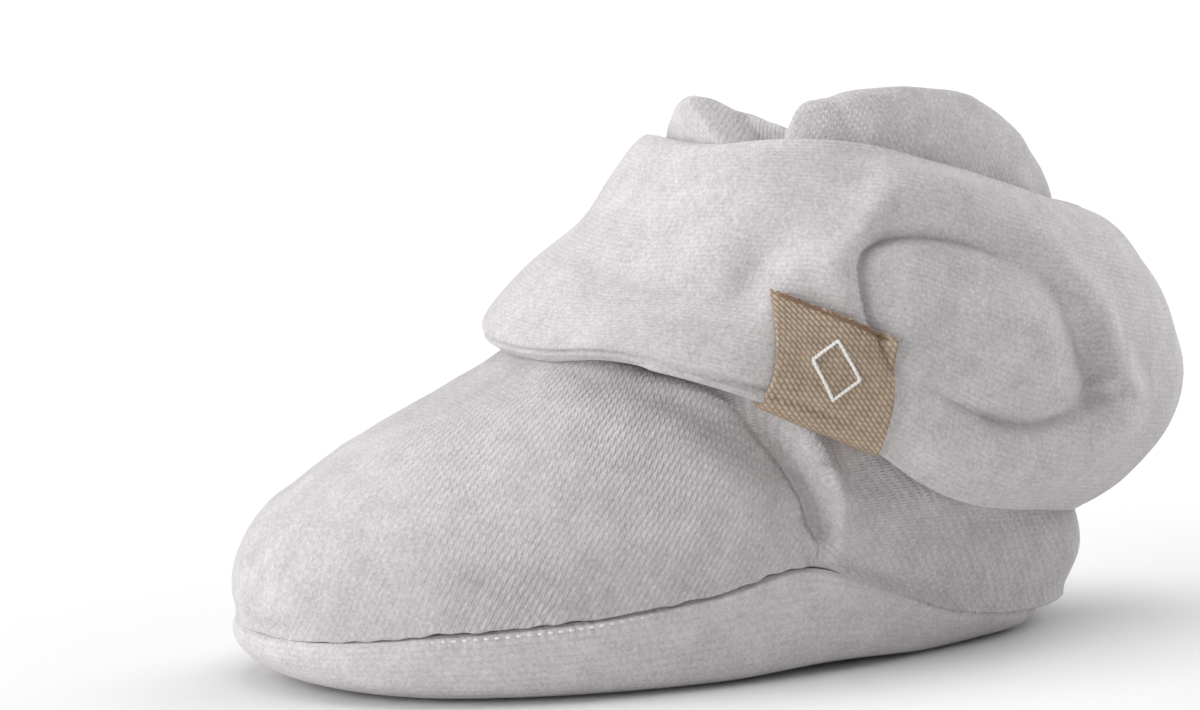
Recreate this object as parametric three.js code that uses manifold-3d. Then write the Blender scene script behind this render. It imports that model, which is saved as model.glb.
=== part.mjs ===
// A baby's soft bootie slipper in knitted jersey, worn on the left foot and shown fastened and empty.
// Pieces: a padded sole that wraps up to a side seam, an insole, one hollow upper (vamp, quarters and collar),
// a wide ankle wrap over the collar, and a small woven tab folded round the wrap's lower edge.
// Millimetres, +X towards the toe, +Y towards the outer side, +Z up, standing on Z = 0.
import * as THREE from "three";
import { mergeVertices } from "three/addons/utils/BufferGeometryUtils.js";
import Module from "manifold-3d";

const wasm = await Module();
wasm.setup();

// Driving sizes.
const SOLE_LENGTH = 105;
const BALL_WIDTH = 52;
const COLLAR_HEIGHT = 55; // nominal height of the collar's edge above the floor
const WRAP_WIDTH = 56; // across the ankle wrap at its widest
const SEAM_HEIGHT = 13; // sole seam where it meets the vamp's back edge, its highest point
const TOE_SPRING = 1.4; // lift of the sole under the toe tip
const ARCH_LIFT = 0.6; // lift of the sole under the waist

// Walls and clearances.
const UPPER_WALL = 2.2;
const SOLE_WALL = 2.6;
const SOLE_THICKNESS = 2.4;
const INSOLE_THICKNESS = 1.4;
const WRAP_WALL = 3.4;
const STRAP_WALL = 1.8;
const PIECE_GAP = 0.3;

// Throat seam, where the vamp is sewn to the quarters: a valley across the instep.
const THROAT_FRONT = 37.5; // from the toe, on the centre line
const THROAT_SIDE = 58; // from the toe, where it meets the sole seam
const THROAT_CURVE = 2.4;
const THROAT_DEPTH = 1.7;
const THROAT_SPREAD = 4.6;

// Tab.
const TAB_WIDTH = 14.2;
const TAB_DROP = 12; // from its top edge to the wrap's lower edge, which it follows
const TAB_THICKNESS = 0.9;

// Facets.
const AROUND = 60;

const HALF = BALL_WIDTH / 2;

// Height of the sole seam above the floor at stations from the toe, as shares of the sole's length and of SEAM_HEIGHT.
const SEAM = [
  { station: 0.0, height: 0.46 },
  { station: 0.12, height: 0.61 },
  { station: 0.3, height: 0.73 },
  { station: 0.44, height: 0.86 },
  { station: 0.55, height: 1.0 },
  { station: 0.65, height: 0.75 },
  { station: 0.76, height: 0.42 },
  { station: 0.88, height: 0.24 },
  { station: 1.0, height: 0.225 },
];

// The sole's outside, from the floor up to the seam. Front, rear: shares of the length. Half: share of half the ball
// width. Height: share of the seam's height there.
const SOLE_RINGS = [
  { front: 0.07, rear: 0.93, half: 0.8, height: 0 },
  { front: 0.04, rear: 0.945, half: 0.89, height: 0.07 },
  { front: 0.017, rear: 0.96, half: 0.95, height: 0.24 },
  { front: 0.004, rear: 0.975, half: 0.988, height: 0.55 },
  { front: 0.003, rear: 0.985, half: 0.995, height: 0.82 },
  { front: 0.01, rear: 0.992, half: 0.985, height: 1 },
];

// The upper's outside, ring by ring from the sole seam to the collar. Front, rear: where the ring crosses the centre
// line, as shares of the sole's length. Half: share of half the ball width. Middle: where it is widest, as a share of
// its own length. Toe, side, heel: its heights there, as shares of the collar height.
const UPPER_RINGS = [
  { front: 0.01, rear: 0.992, half: 0.985, middle: 0.42, toe: 0.13, side: 0.2, heel: 0.06 },
  { front: -0.004, rear: 1.004, half: 1.01, middle: 0.42, toe: 0.185, side: 0.26, heel: 0.14 },
  { front: 0.002, rear: 1.006, half: 1.005, middle: 0.44, toe: 0.26, side: 0.315, heel: 0.22 },
  { front: 0.03, rear: 1.0, half: 0.98, middle: 0.47, toe: 0.338, side: 0.365, heel: 0.3 },
  { front: 0.082, rear: 0.99, half: 0.945, middle: 0.48, toe: 0.41, side: 0.42, heel: 0.38 },
  { front: 0.15, rear: 0.982, half: 0.9, middle: 0.49, toe: 0.48, side: 0.485, heel: 0.46 },
  { front: 0.225, rear: 0.978, half: 0.855, middle: 0.5, toe: 0.55, side: 0.56, heel: 0.55 },
  { front: 0.31, rear: 0.98, half: 0.81, middle: 0.5, toe: 0.62, side: 0.64, heel: 0.65 },
  { front: 0.4, rear: 0.982, half: 0.77, middle: 0.5, toe: 0.71, side: 0.73, heel: 0.75 },
  { front: 0.48, rear: 0.982, half: 0.72, middle: 0.5, toe: 0.82, side: 0.83, heel: 0.85 },
  { front: 0.525, rear: 0.958, half: 0.66, middle: 0.5, toe: 0.92, side: 0.93, heel: 0.95 },
  { front: 0.545, rear: 0.905, half: 0.58, middle: 0.5, toe: 1.0, side: 1.0, heel: 1.0 },
];

// The collar's edge round the ankle: angle in degrees from the front, positive to the outer side, and height as a
// share of the collar height. It stands up in a puffed lobe from the outer side round to the heel.
const COLLAR_EDGE = [
  { angle: -180, height: 1.02 },
  { angle: -140, height: 0.99 },
  { angle: -90, height: 0.97 },
  { angle: 0, height: 1.0 },
  { angle: 39, height: 1.03 },
  { angle: 46, height: 1.14 },
  { angle: 58, height: 1.165 },
  { angle: 78, height: 1.185 },
  { angle: 112, height: 1.178 },
  { angle: 136, height: 1.13 },
  { angle: 152, height: 1.07 },
  { angle: 166, height: 1.035 },
  { angle: 180, height: 1.02 },
];

// The ankle wrap's outside, from its lower edge to its top edge. Share: how far up the wrap, from edge to edge. Front,
// rear: shares of the sole's length. Half: share of half the wrap width. Middle: as in the upper's rings.
const WRAP_RINGS = [
  { share: 0.0, front: 0.306, rear: 1.012, half: 0.925, middle: 0.46 },
  { share: 0.09, front: 0.307, rear: 1.075, half: 0.985, middle: 0.46 },
  { share: 0.26, front: 0.342, rear: 1.135, half: 1.0, middle: 0.46 },
  { share: 0.48, front: 0.396, rear: 1.155, half: 0.98, middle: 0.45 },
  { share: 0.7, front: 0.447, rear: 1.12, half: 0.915, middle: 0.44 },
  { share: 0.88, front: 0.48, rear: 1.068, half: 0.83, middle: 0.43 },
  { share: 1.0, front: 0.498, rear: 1.012, half: 0.755, middle: 0.42 },
];

// Heights of the wrap's lower edge, and of its top edge on the outer and inner side, at stations from the toe, as
// shares of the sole's length and of the collar height.
const WRAP_LOWER = [
  { station: 0.3, height: 0.652 },
  { station: 0.35, height: 0.668 },
  { station: 0.41, height: 0.645 },
  { station: 0.49, height: 0.598 },
  { station: 0.55, height: 0.548 },
  { station: 0.62, height: 0.485 },
  { station: 0.7, height: 0.385 },
  { station: 0.77, height: 0.33 },
  { station: 0.86, height: 0.295 },
  { station: 1.0, height: 0.245 },
];
const WRAP_UPPER_OUTER = [
  { station: 0.49, height: 1.09 },
  { station: 0.54, height: 1.12 },
  { station: 0.63, height: 1.105 },
  { station: 0.72, height: 1.05 },
  { station: 0.8, height: 1.01 },
  { station: 0.9, height: 0.95 },
  { station: 1.02, height: 0.885 },
];
const WRAP_UPPER_INNER = [
  { station: 0.49, height: 1.09 },
  { station: 0.54, height: 1.03 },
  { station: 0.63, height: 0.985 },
  { station: 0.8, height: 0.94 },
  { station: 1.02, height: 0.885 },
];

// The inner ankle strap, which crosses the front inside the wrap and stands up in a point there. Turn: degrees from
// the front, positive to the outer side. Low, high: its edges, as shares of the collar height.
const STRAP = [
  { turn: -84, low: 0.82, high: 0.95 },
  { turn: -50, low: 0.79, high: 0.98 },
  { turn: -24, low: 0.77, high: 1.03 },
  { turn: -6, low: 0.76, high: 1.1 },
  { turn: 4, low: 0.76, high: 1.157 },
  { turn: 18, low: 0.76, high: 1.13 },
  { turn: 30, low: 0.77, high: 1.11 },
  { turn: 44, low: 0.79, high: 1.08 },
  { turn: 60, low: 0.82, high: 0.98 },
];

// A table column at a place between its rows, by a smooth curve through them.
function column(rows, name, place) {
  const last = rows.length - 1;
  const at = Math.min(Math.max(place, 0), last);
  const i = Math.min(Math.floor(at), last - 1);
  const u = at - i;
  const value = (k) => rows[Math.min(Math.max(k, 0), last)][name];
  const [a, b, c, d] = [value(i - 1), value(i), value(i + 1), value(i + 2)];
  return b + 0.5 * u * (c - a + u * (2 * a - 5 * b + 4 * c - d + u * (3 * (b - c) + d - a)));
}

// A table column at a key, by a smooth curve through its rows.
function along(rows, key, name, at) {
  const last = rows.length - 1;
  let i = 0;
  while (i < last - 1 && at > rows[i + 1][key]) i += 1;
  const share = (at - rows[i][key]) / (rows[i + 1][key] - rows[i][key]);
  return column(rows, name, i + Math.min(Math.max(share, 0), 1));
}

function seamHeight(station) {
  return SEAM_HEIGHT * along(SEAM, "station", "height", station / SOLE_LENGTH);
}

// The plan of a ring: an egg with its blunt end at the ball. Returns the station from the toe and the sideways place.
const FULLNESS = 0.9;
const HEEL_TAPER = 0.27;
function plan(front, rear, half, middle, turn) {
  const c = Math.cos(turn);
  const s = Math.sin(turn);
  const centre = front + (rear - front) * middle;
  const station = c > 0 ? centre - (centre - front) * c : centre - (rear - centre) * c;
  const narrowing = 1 - HEEL_TAPER * Math.min(c, 0) ** 2;
  return { station, side: half * Math.sign(s) * Math.abs(s) ** FULLNESS * narrowing, c };
}

// Height round a ring, from its side height to its height at the toe or at the heel.
function ringHeight(c, toe, side, heel) {
  return side + (c > 0 ? toe - side : heel - side) * c * c;
}

function ringPlan(rows, place, width, turn) {
  return plan(
    column(rows, "front", place) * SOLE_LENGTH,
    column(rows, "rear", place) * SOLE_LENGTH,
    column(rows, "half", place) * width,
    column(rows, "middle", place),
    turn,
  );
}

// Station 0 is the toe tip. The part's X runs forward from the middle of its length.
const WRAP_REACH = 1.155;
const TOE_X = (SOLE_LENGTH * (WRAP_REACH + UPPER_RINGS[1].front)) / 2;
function point(station, side, height) {
  return new THREE.Vector3(TOE_X - station, side, height);
}

const UPPER_LAST = UPPER_RINGS.length - 1;
const SEAM_ROWS = 2.5; // rings over which the sole seam's rise and fall dies away
const EDGE_ROWS = 4; // rings over which the collar's edge rises and falls
const soften = (u) => u * u * (3 - 2 * u);
const levels = (row) => ["toe", "side", "heel"].map((name) => column(UPPER_RINGS, name, row));

// The upper's outer surface before its seam valley.
function upperBase(place, turn) {
  const at = ringPlan(UPPER_RINGS, place, HALF, turn);
  const level = (row) => COLLAR_HEIGHT * ringHeight(at.c, ...levels(row));
  const low = soften(Math.max(1 - place / SEAM_ROWS, 0));
  const high = soften(Math.max((place - UPPER_LAST + EDGE_ROWS) / EDGE_ROWS, 0));
  const degrees = THREE.MathUtils.radToDeg(Math.atan2(Math.sin(turn), Math.cos(turn)));
  const edge = COLLAR_HEIGHT * along(COLLAR_EDGE, "angle", "height", degrees);
  const height = level(place) + low * (seamHeight(at.station) + PIECE_GAP - level(0));
  return point(at.station, at.side, height + high * (edge - level(UPPER_LAST)));
}

// The outward direction of a surface given as a function of place and turn.
const NORMAL_STEP = 0.02;
function outward(surface, place, last, turn) {
  const up = Math.min(place + NORMAL_STEP, last);
  const down = Math.max(place - NORMAL_STEP, 0);
  const across = surface(place, turn + NORMAL_STEP).sub(surface(place, turn - NORMAL_STEP));
  const rise = surface(up, turn).sub(surface(down, turn));
  return across.cross(rise).normalize();
}

// How far a point of the upper lies behind the throat seam, along the foot.
function behindThroat(p) {
  const share = Math.min(Math.abs(p.y) / HALF, 1);
  return TOE_X - p.x - (THROAT_FRONT + (THROAT_SIDE - THROAT_FRONT) * share ** THROAT_CURVE);
}

function upperOuter(place, turn, grown = 0) {
  const p = upperBase(place, turn);
  const n = outward(upperBase, place, UPPER_LAST, turn);
  const valley = THROAT_DEPTH * Math.exp(-((behindThroat(p) / THROAT_SPREAD) ** 2));
  return p.addScaledVector(n, grown - valley);
}

const turns = Array.from({ length: AROUND }, (_, i) => (2 * Math.PI * i) / AROUND);
const ring = (make) => turns.map(make);

// Triangles between two rings of equal count, lower ring first, facing outwards.
function band(positions, a, b, count) {
  for (let i = 0; i < count; i += 1) {
    const j = (i + 1) % count;
    positions.push(a[i], b[j], b[i], a[i], a[j], b[j]);
  }
}

function geometryOf(points) {
  const flat = new Float32Array(points.length * 3);
  points.forEach((p, i) => flat.set([p.x, p.y, p.z], 3 * i));
  return new THREE.BufferGeometry().setAttribute("position", new THREE.BufferAttribute(flat, 3));
}

// A stack of rings that closes on its first ring, as the wall of a shell does.
function closedStack(rings) {
  const points = [];
  rings.forEach((r, i) => band(points, r, rings[(i + 1) % rings.length], r.length));
  return geometryOf(points);
}

// Ribs across a ring, from each point to its mirror image, facing down, or up when it is the top.
function ribs(positions, r, isTop) {
  const mirror = (i) => r[(r.length - i) % r.length];
  for (let i = 0; i < r.length / 2; i += 1) {
    const quad = [r[i], r[i + 1], mirror(i + 1), mirror(i)];
    const [a, b, c, d] = isTop ? quad : quad.reverse();
    if (i > 0) positions.push(...(isTop ? [a, b, d] : [a, c, d]));
    if (i + 1 < r.length / 2) positions.push(...(isTop ? [b, c, d] : [a, b, c]));
  }
}

// A stack of rings closed by ribs at each end.
function cappedStack(rings) {
  const points = [];
  rings.slice(1).forEach((r, i) => band(points, rings[i], r, r.length));
  ribs(points, rings[0], false);
  ribs(points, rings[rings.length - 1], true);
  return geometryOf(points);
}

function solidOf(geometry) {
  const merged = mergeVertices(geometry, 1e-4);
  const made = new wasm.Manifold(
    new wasm.Mesh({
      numProp: 3,
      vertProperties: merged.attributes.position.array,
      triVerts: new Uint32Array(merged.index.array),
    }),
  );
  return made;
}

function geometryOfSolid(solid) {
  const mesh = solid.getMesh();
  const flat = new Float32Array(mesh.numVert * 3);
  for (let i = 0; i < mesh.numVert; i += 1) {
    flat.set(mesh.vertProperties.subarray(i * mesh.numProp, i * mesh.numProp + 3), i * 3);
  }
  return new THREE.BufferGeometry()
    .setAttribute("position", new THREE.BufferAttribute(flat, 3))
    .setIndex(new THREE.BufferAttribute(new Uint32Array(mesh.triVerts), 1));
}

// How far the sole's underside is lifted at a station: under the toe tip and under the waist.
const SPRING_END = 18;
const ARCH_FROM = 48;
const ARCH_TO = 80;
function lift(station) {
  const toe = Math.max(1 - station / SPRING_END, 0) ** 2;
  const waist = Math.min(Math.max((station - ARCH_FROM) / (ARCH_TO - ARCH_FROM), 0), 1);
  return TOE_SPRING * toe + ARCH_LIFT * Math.sin(Math.PI * waist) ** 2;
}

// The sole: a padded dish. Its outside rises to the seam, and its inside holds the insole.
function soleRing(row) {
  return ring((turn) => {
    const at = plan(row.front * SOLE_LENGTH, row.rear * SOLE_LENGTH, row.half * HALF, UPPER_RINGS[0].middle, turn);
    const rise = row.height * seamHeight(at.station);
    return point(at.station, at.side, rise + lift(at.station) * (1 - row.height));
  });
}

// The seam outline taken in by a wall, at a height that may depend on the station.
function insideSeam(inset, height) {
  const { front, rear, half, middle } = UPPER_RINGS[0];
  return ring((turn) => {
    const at = plan(front * SOLE_LENGTH + inset, rear * SOLE_LENGTH - inset, half * HALF - inset, middle, turn);
    return point(at.station, at.side, height(at.station));
  });
}

function makeSole() {
  const outside = SOLE_RINGS.map(soleRing);
  const floor = (station) => Math.min(SOLE_THICKNESS, seamHeight(station) - PIECE_GAP);
  return cappedStack([...outside, insideSeam(SOLE_WALL, seamHeight), insideSeam(SOLE_WALL, floor)]);
}

function makeInsole() {
  const base = SOLE_THICKNESS + PIECE_GAP;
  const clear = SOLE_WALL + PIECE_GAP;
  const edge = INSOLE_THICKNESS / 2;
  return cappedStack([
    insideSeam(clear, () => base),
    insideSeam(clear, () => base + edge),
    insideSeam(clear + edge, () => base + INSOLE_THICKNESS),
  ]);
}

// The edge of a wall between its two faces, bulged outwards by a reach along the wall's rise.
function lipRing(surface, place, last, wall, reach) {
  const side = place > last / 2 ? 1 : -1;
  return ring((turn) => {
    const p = surface(place, turn);
    const inner = surface(place - side * NORMAL_STEP, turn);
    const rise = p.clone().sub(inner).normalize();
    const n = outward(surface, place, last, turn);
    return p.addScaledVector(n, -wall / 2).addScaledVector(rise, reach);
  });
}

// A wall of even thickness under a surface, with soft edges and a clearance round it, as a closed stack of rings.
function wallRings(surface, places, wall, reach, clearance) {
  const last = places[places.length - 1];
  const under = (depth) => (place, turn) => surface(place, turn).addScaledVector(outward(surface, place, last, turn), -depth);
  const face = (depth) => places.map((place) => ring((turn) => under(depth)(place, turn)));
  const lip = (place) => lipRing(surface, place, last, wall, reach + clearance);
  return [...face(-clearance), lip(last), ...face(wall + clearance).reverse(), lip(places[0])];
}

const LIP_SHARE = 0.22; // how far a soft edge bulges, as a share of its wall
const UPPER_PLACES = Array.from({ length: UPPER_LAST + 1 }, (_, i) => i);
const FINE_PLACES = Array.from({ length: 2 * UPPER_LAST + 1 }, (_, i) => i / 2);
function makeUpper() {
  const outside = FINE_PLACES.map((place) => ring((turn) => upperOuter(place, turn)));
  const inside = UPPER_PLACES.map((place) => ring((turn) => upperOuter(place, turn, -UPPER_WALL)));
  const lip = lipRing(upperOuter, UPPER_LAST, UPPER_LAST, UPPER_WALL, LIP_SHARE * UPPER_WALL);
  return closedStack([...outside, lip, ...inside.reverse()]);
}

// The whole volume that the upper takes up with a clearance round it, for cutting what lies on it.
function upperBlock(clearance) {
  const rings = FINE_PLACES.map((place) => ring((turn) => upperOuter(place, turn, clearance)));
  return solidOf(cappedStack(rings));
}

const WRAP_LAST = WRAP_RINGS.length - 1;
function wrapOuter(place, turn) {
  const at = ringPlan(WRAP_RINGS, place, WRAP_WIDTH / 2, turn);
  const from = ringPlan(WRAP_RINGS, 0, WRAP_WIDTH / 2, turn).station / SOLE_LENGTH;
  const to = ringPlan(WRAP_RINGS, WRAP_LAST, WRAP_WIDTH / 2, turn).station / SOLE_LENGTH;
  const low = along(WRAP_LOWER, "station", "height", from);
  const outer = along(WRAP_UPPER_OUTER, "station", "height", to);
  const inner = along(WRAP_UPPER_INNER, "station", "height", to);
  const high = inner + (outer - inner) * (0.5 + Math.sin(turn) / 2);
  const share = column(WRAP_RINGS, "share", place);
  return point(at.station, at.side, COLLAR_HEIGHT * (low + (high - low) * share));
}

const WRAP_STEPS = 2 * WRAP_LAST;
function wrapSolid(clearance) {
  const places = Array.from({ length: WRAP_STEPS + 1 }, (_, i) => (WRAP_LAST * i) / WRAP_STEPS);
  return solidOf(closedStack(wallRings(wrapOuter, places, WRAP_WALL, LIP_SHARE * WRAP_WALL, clearance)));
}

// A strip of wall from rows of sections, each section a loop of points, closed at its first and last row.
function strip(sections) {
  const faces = [];
  sections.slice(1).forEach((loop, j) => band(faces, sections[j], loop, loop.length));
  const end = (loop, isTop) => {
    const half = loop.length / 2;
    for (let i = 0; i < half - 1; i += 1) {
      const [a, b, c, d] = [loop[i], loop[i + 1], loop[2 * half - 2 - i], loop[2 * half - 1 - i]];
      faces.push(...(isTop ? [a, b, c, a, c, d] : [a, c, b, a, d, c]));
    }
  };
  end(sections[0], false);
  end(sections[sections.length - 1], true);
  return geometryOf(faces);
}

// The place on a surface where it reaches a height at a turn, by halving.
const HALVINGS = 30;
function placeAtHeight(surface, last, turn, height) {
  let [low, high] = [0, last];
  for (let i = 0; i < HALVINGS; i += 1) {
    const middle = (low + high) / 2;
    if (surface(middle, turn).z < height) low = middle;
    else high = middle;
  }
  return (low + high) / 2;
}

// The inner strap: a band lying on the collar, whose edges follow its table.
const STRAP_ROWS = 5;
const STRAP_COLUMNS = 26;
function strapSolid(clearance) {
  const first = STRAP[0].turn;
  const reach = STRAP[STRAP.length - 1].turn - first;
  const margin = THREE.MathUtils.degToRad(2 * clearance);
  const sections = Array.from({ length: STRAP_COLUMNS + 1 }, (_, j) => {
    const share = 1 - j / STRAP_COLUMNS;
    const degrees = first + reach * share;
    const turn = THREE.MathUtils.degToRad(degrees) + margin * (2 * share - 1);
    const low = COLLAR_HEIGHT * along(STRAP, "turn", "low", degrees) - clearance;
    const high = COLLAR_HEIGHT * along(STRAP, "turn", "high", degrees) + clearance;
    const at = (level, depth) => {
      const height = low + (high - low) * level;
      const place = placeAtHeight(upperBase, UPPER_LAST, turn, height);
      const here = upperBase(place, turn);
      const across = upperBase(place, turn + NORMAL_STEP).sub(here).setZ(0).normalize();
      return new THREE.Vector3(here.x + across.y * depth, here.y - across.x * depth, height);
    };
    const rows = Array.from({ length: STRAP_ROWS + 1 }, (_, i) => i / STRAP_ROWS);
    const near = rows.map((level) => at(level, PIECE_GAP + STRAP_WALL + clearance));
    const far = rows.map((level) => at(level, PIECE_GAP - clearance)).reverse();
    return [...near, ...far];
  });
  return solidOf(strip(sections));
}

// The turn at which a surface reaches a station at a height, and the place there, by halving.
function turnAndPlace(surface, last, station, height) {
  let [front, rear] = [0.2, Math.PI - 0.2];
  for (let k = 0; k < HALVINGS; k += 1) {
    const turn = (front + rear) / 2;
    const place = placeAtHeight(surface, last, turn, height);
    if (TOE_X - surface(place, turn).x < station) front = turn;
    else rear = turn;
  }
  const turn = (front + rear) / 2;
  return [placeAtHeight(surface, last, turn, height), turn];
}

// The tab: a leaf on the wrap's outer side that turns under its lower edge.
const TAB_COLUMNS = 8;
const TAB_ROWS = 5;
const TAB_PLACE = 0.571; // its middle, as a share of the sole's length from the toe
const TAB_BITE = 0.15; // how deep it starts under the clearance, which is then cut away
function tabSolid() {
  const drop = LIP_SHARE * WRAP_WALL;
  const sections = Array.from({ length: TAB_COLUMNS + 1 }, (_, j) => {
    const across = j / TAB_COLUMNS - 0.5;
    const station = TAB_PLACE * SOLE_LENGTH - TAB_WIDTH * across;
    const foot = COLLAR_HEIGHT * along(WRAP_LOWER, "station", "height", station / SOLE_LENGTH);
    const leaf = Array.from({ length: TAB_ROWS + 1 }, (_, i) => {
      const height = foot + (TAB_DROP * i) / TAB_ROWS;
      const [place, turn] = turnAndPlace(wrapOuter, WRAP_LAST, station, height);
      return { place, turn, normal: outward(wrapOuter, place, WRAP_LAST, turn) };
    });
    const { turn } = leaf[0];
    const edge = wrapOuter(0, turn);
    const normal = outward(wrapOuter, 0, WRAP_LAST, turn);
    const down = new THREE.Vector3(0, 0, -1);
    const under = (depth) =>
      edge.clone().addScaledVector(normal, (depth - WRAP_WALL) / 2).addScaledVector(down, drop + 0.6 * depth);
    const face = (depth) => [
      under(depth),
      ...leaf.map((q) => wrapOuter(q.place, q.turn).addScaledVector(q.normal, depth)),
    ];
    return [...face(PIECE_GAP + TAB_THICKNESS), ...face(PIECE_GAP - TAB_BITE).reverse()];
  });
  return solidOf(strip(sections));
}

function material(color, roughness) {
  return new THREE.MeshStandardMaterial({ color, roughness, metalness: 0 });
}

function named(name, geometry, look) {
  const mesh = new THREE.Mesh(geometry, look);
  mesh.name = name;
  return mesh;
}

const jersey = material(0xd6d2d3, 0.95);
const bootie = new THREE.Group();
const upperRoom = upperBlock(PIECE_GAP);
const strap = strapSolid(0).subtract(upperRoom);
const wrap = wrapSolid(0).subtract(upperRoom).subtract(strapSolid(PIECE_GAP));
const tab = tabSolid().subtract(wrapSolid(PIECE_GAP)).subtract(upperRoom);
bootie.add(
  named("sole", makeSole(), jersey),
  named("insole", makeInsole(), jersey),
  named("upper", makeUpper(), jersey),
  named("inner_strap", geometryOfSolid(strap), jersey),
  named("ankle_wrap", geometryOfSolid(wrap), jersey),
  named("woven_tab", geometryOfSolid(tab), material(0xa08d7c, 0.9)),
);

export default bootie;
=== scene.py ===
"""A baby's soft bootie slipper in heathered jersey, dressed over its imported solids.

Lengths in the shape classes are millimetres. A station is the distance back from the toe, and the row frame has +X
towards the toe, +Y towards the outer side and +Z up.
"""
import logging
from dataclasses import dataclass, field
from enum import Enum
from typing import Callable

import bmesh
import bpy
import numpy as np
from mathutils import Matrix, Vector
from numpy.typing import NDArray


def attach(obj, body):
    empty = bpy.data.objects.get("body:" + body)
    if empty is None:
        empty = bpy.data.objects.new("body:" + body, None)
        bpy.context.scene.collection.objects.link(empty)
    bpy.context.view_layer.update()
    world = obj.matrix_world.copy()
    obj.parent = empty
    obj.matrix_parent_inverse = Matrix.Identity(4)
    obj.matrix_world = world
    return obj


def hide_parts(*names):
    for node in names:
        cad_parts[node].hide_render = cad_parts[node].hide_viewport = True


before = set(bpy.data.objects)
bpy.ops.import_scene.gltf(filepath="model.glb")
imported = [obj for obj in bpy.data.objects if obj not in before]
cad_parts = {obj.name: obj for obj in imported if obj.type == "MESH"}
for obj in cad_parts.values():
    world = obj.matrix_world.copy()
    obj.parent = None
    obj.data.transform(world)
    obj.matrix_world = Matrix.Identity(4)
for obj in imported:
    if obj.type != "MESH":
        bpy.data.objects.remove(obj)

LOG = logging.getLogger("bootie")
MM = 0.001
Array = NDArray[np.float64]
Surface = Callable[[Array, Array], Array]


class Panel(Enum):
    """The cloth panels whose knit runs its own way."""

    VAMP = "vamp"
    QUARTER = "quarter"


class Table:
    """A short table with named columns, read between its rows by a smooth curve."""

    def __init__(self, names: str, *rows: tuple[float, ...]) -> None:
        """Args:
            names: the columns' names, parted by spaces.
            rows: one tuple of numbers for each row.
        """
        self.columns = dict(zip(names.split(), np.array(rows, float).T))
        self.last = len(rows) - 1

    def at(self, name: str, place: Array) -> Array:
        """A column at places between its rows: a Catmull-Rom curve through four neighbouring rows.

        Args:
            name: the column.
            place: row numbers, fractions allowed.
        Returns:
            The column's values there.
        """
        values = self.columns[name]
        spot = np.clip(place, 0, self.last)
        i = np.minimum(spot.astype(int), self.last - 1)
        u = spot - i
        a, b, c, d = (values[np.clip(i + k, 0, self.last)] for k in (-1, 0, 1, 2))
        return b + 0.5 * u * (c - a + u * (2 * a - 5 * b + 4 * c - d + u * (3 * (b - c) + d - a)))

    def along(self, key: str, name: str, value: Array) -> Array:
        """A column where another column, which rises from row to row, has a value.

        Args:
            key: the rising column.
            name: the column that is read.
            value: values of the rising column.
        Returns:
            The read column's values there.
        """
        keys = self.columns[key]
        return self.at(name, np.interp(value, keys, np.arange(len(keys))))


def soften(u: Array) -> Array:
    """A smooth step: 3u² − 2u³ with u held between 0 and 1."""
    u = np.clip(u, 0, 1)
    return u * u * (3 - 2 * u)


def bell(distance: Array, spread: float) -> Array:
    """A bell of height 1: e to the power of minus the square of distance over spread."""
    return np.exp(-((distance / spread) ** 2))


def unit(vectors: Array) -> Array:
    """Vectors made one long."""
    return vectors / np.maximum(np.linalg.norm(vectors, axis=-1, keepdims=True), 1e-12)


def swell(points: Array, wavelength: float, seed: int) -> Array:
    """Soft unevenness from -1 to 1: the mean of eight plane waves with seeded directions and phases.

    Args:
        points: positions, in millimetres.
        wavelength: about how far apart the rises are.
        seed: picks the waves.
    Returns:
        One number for each point.
    """
    rng = np.random.default_rng(seed)
    ways = unit(rng.normal(size=(8, 3))) / (wavelength * rng.uniform(0.7, 1.5, (8, 1)))
    phases = rng.uniform(0, 2 * np.pi, 8)
    return np.sin(points @ (2 * np.pi * ways.T) + phases).mean(axis=-1) * 1.6


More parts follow.
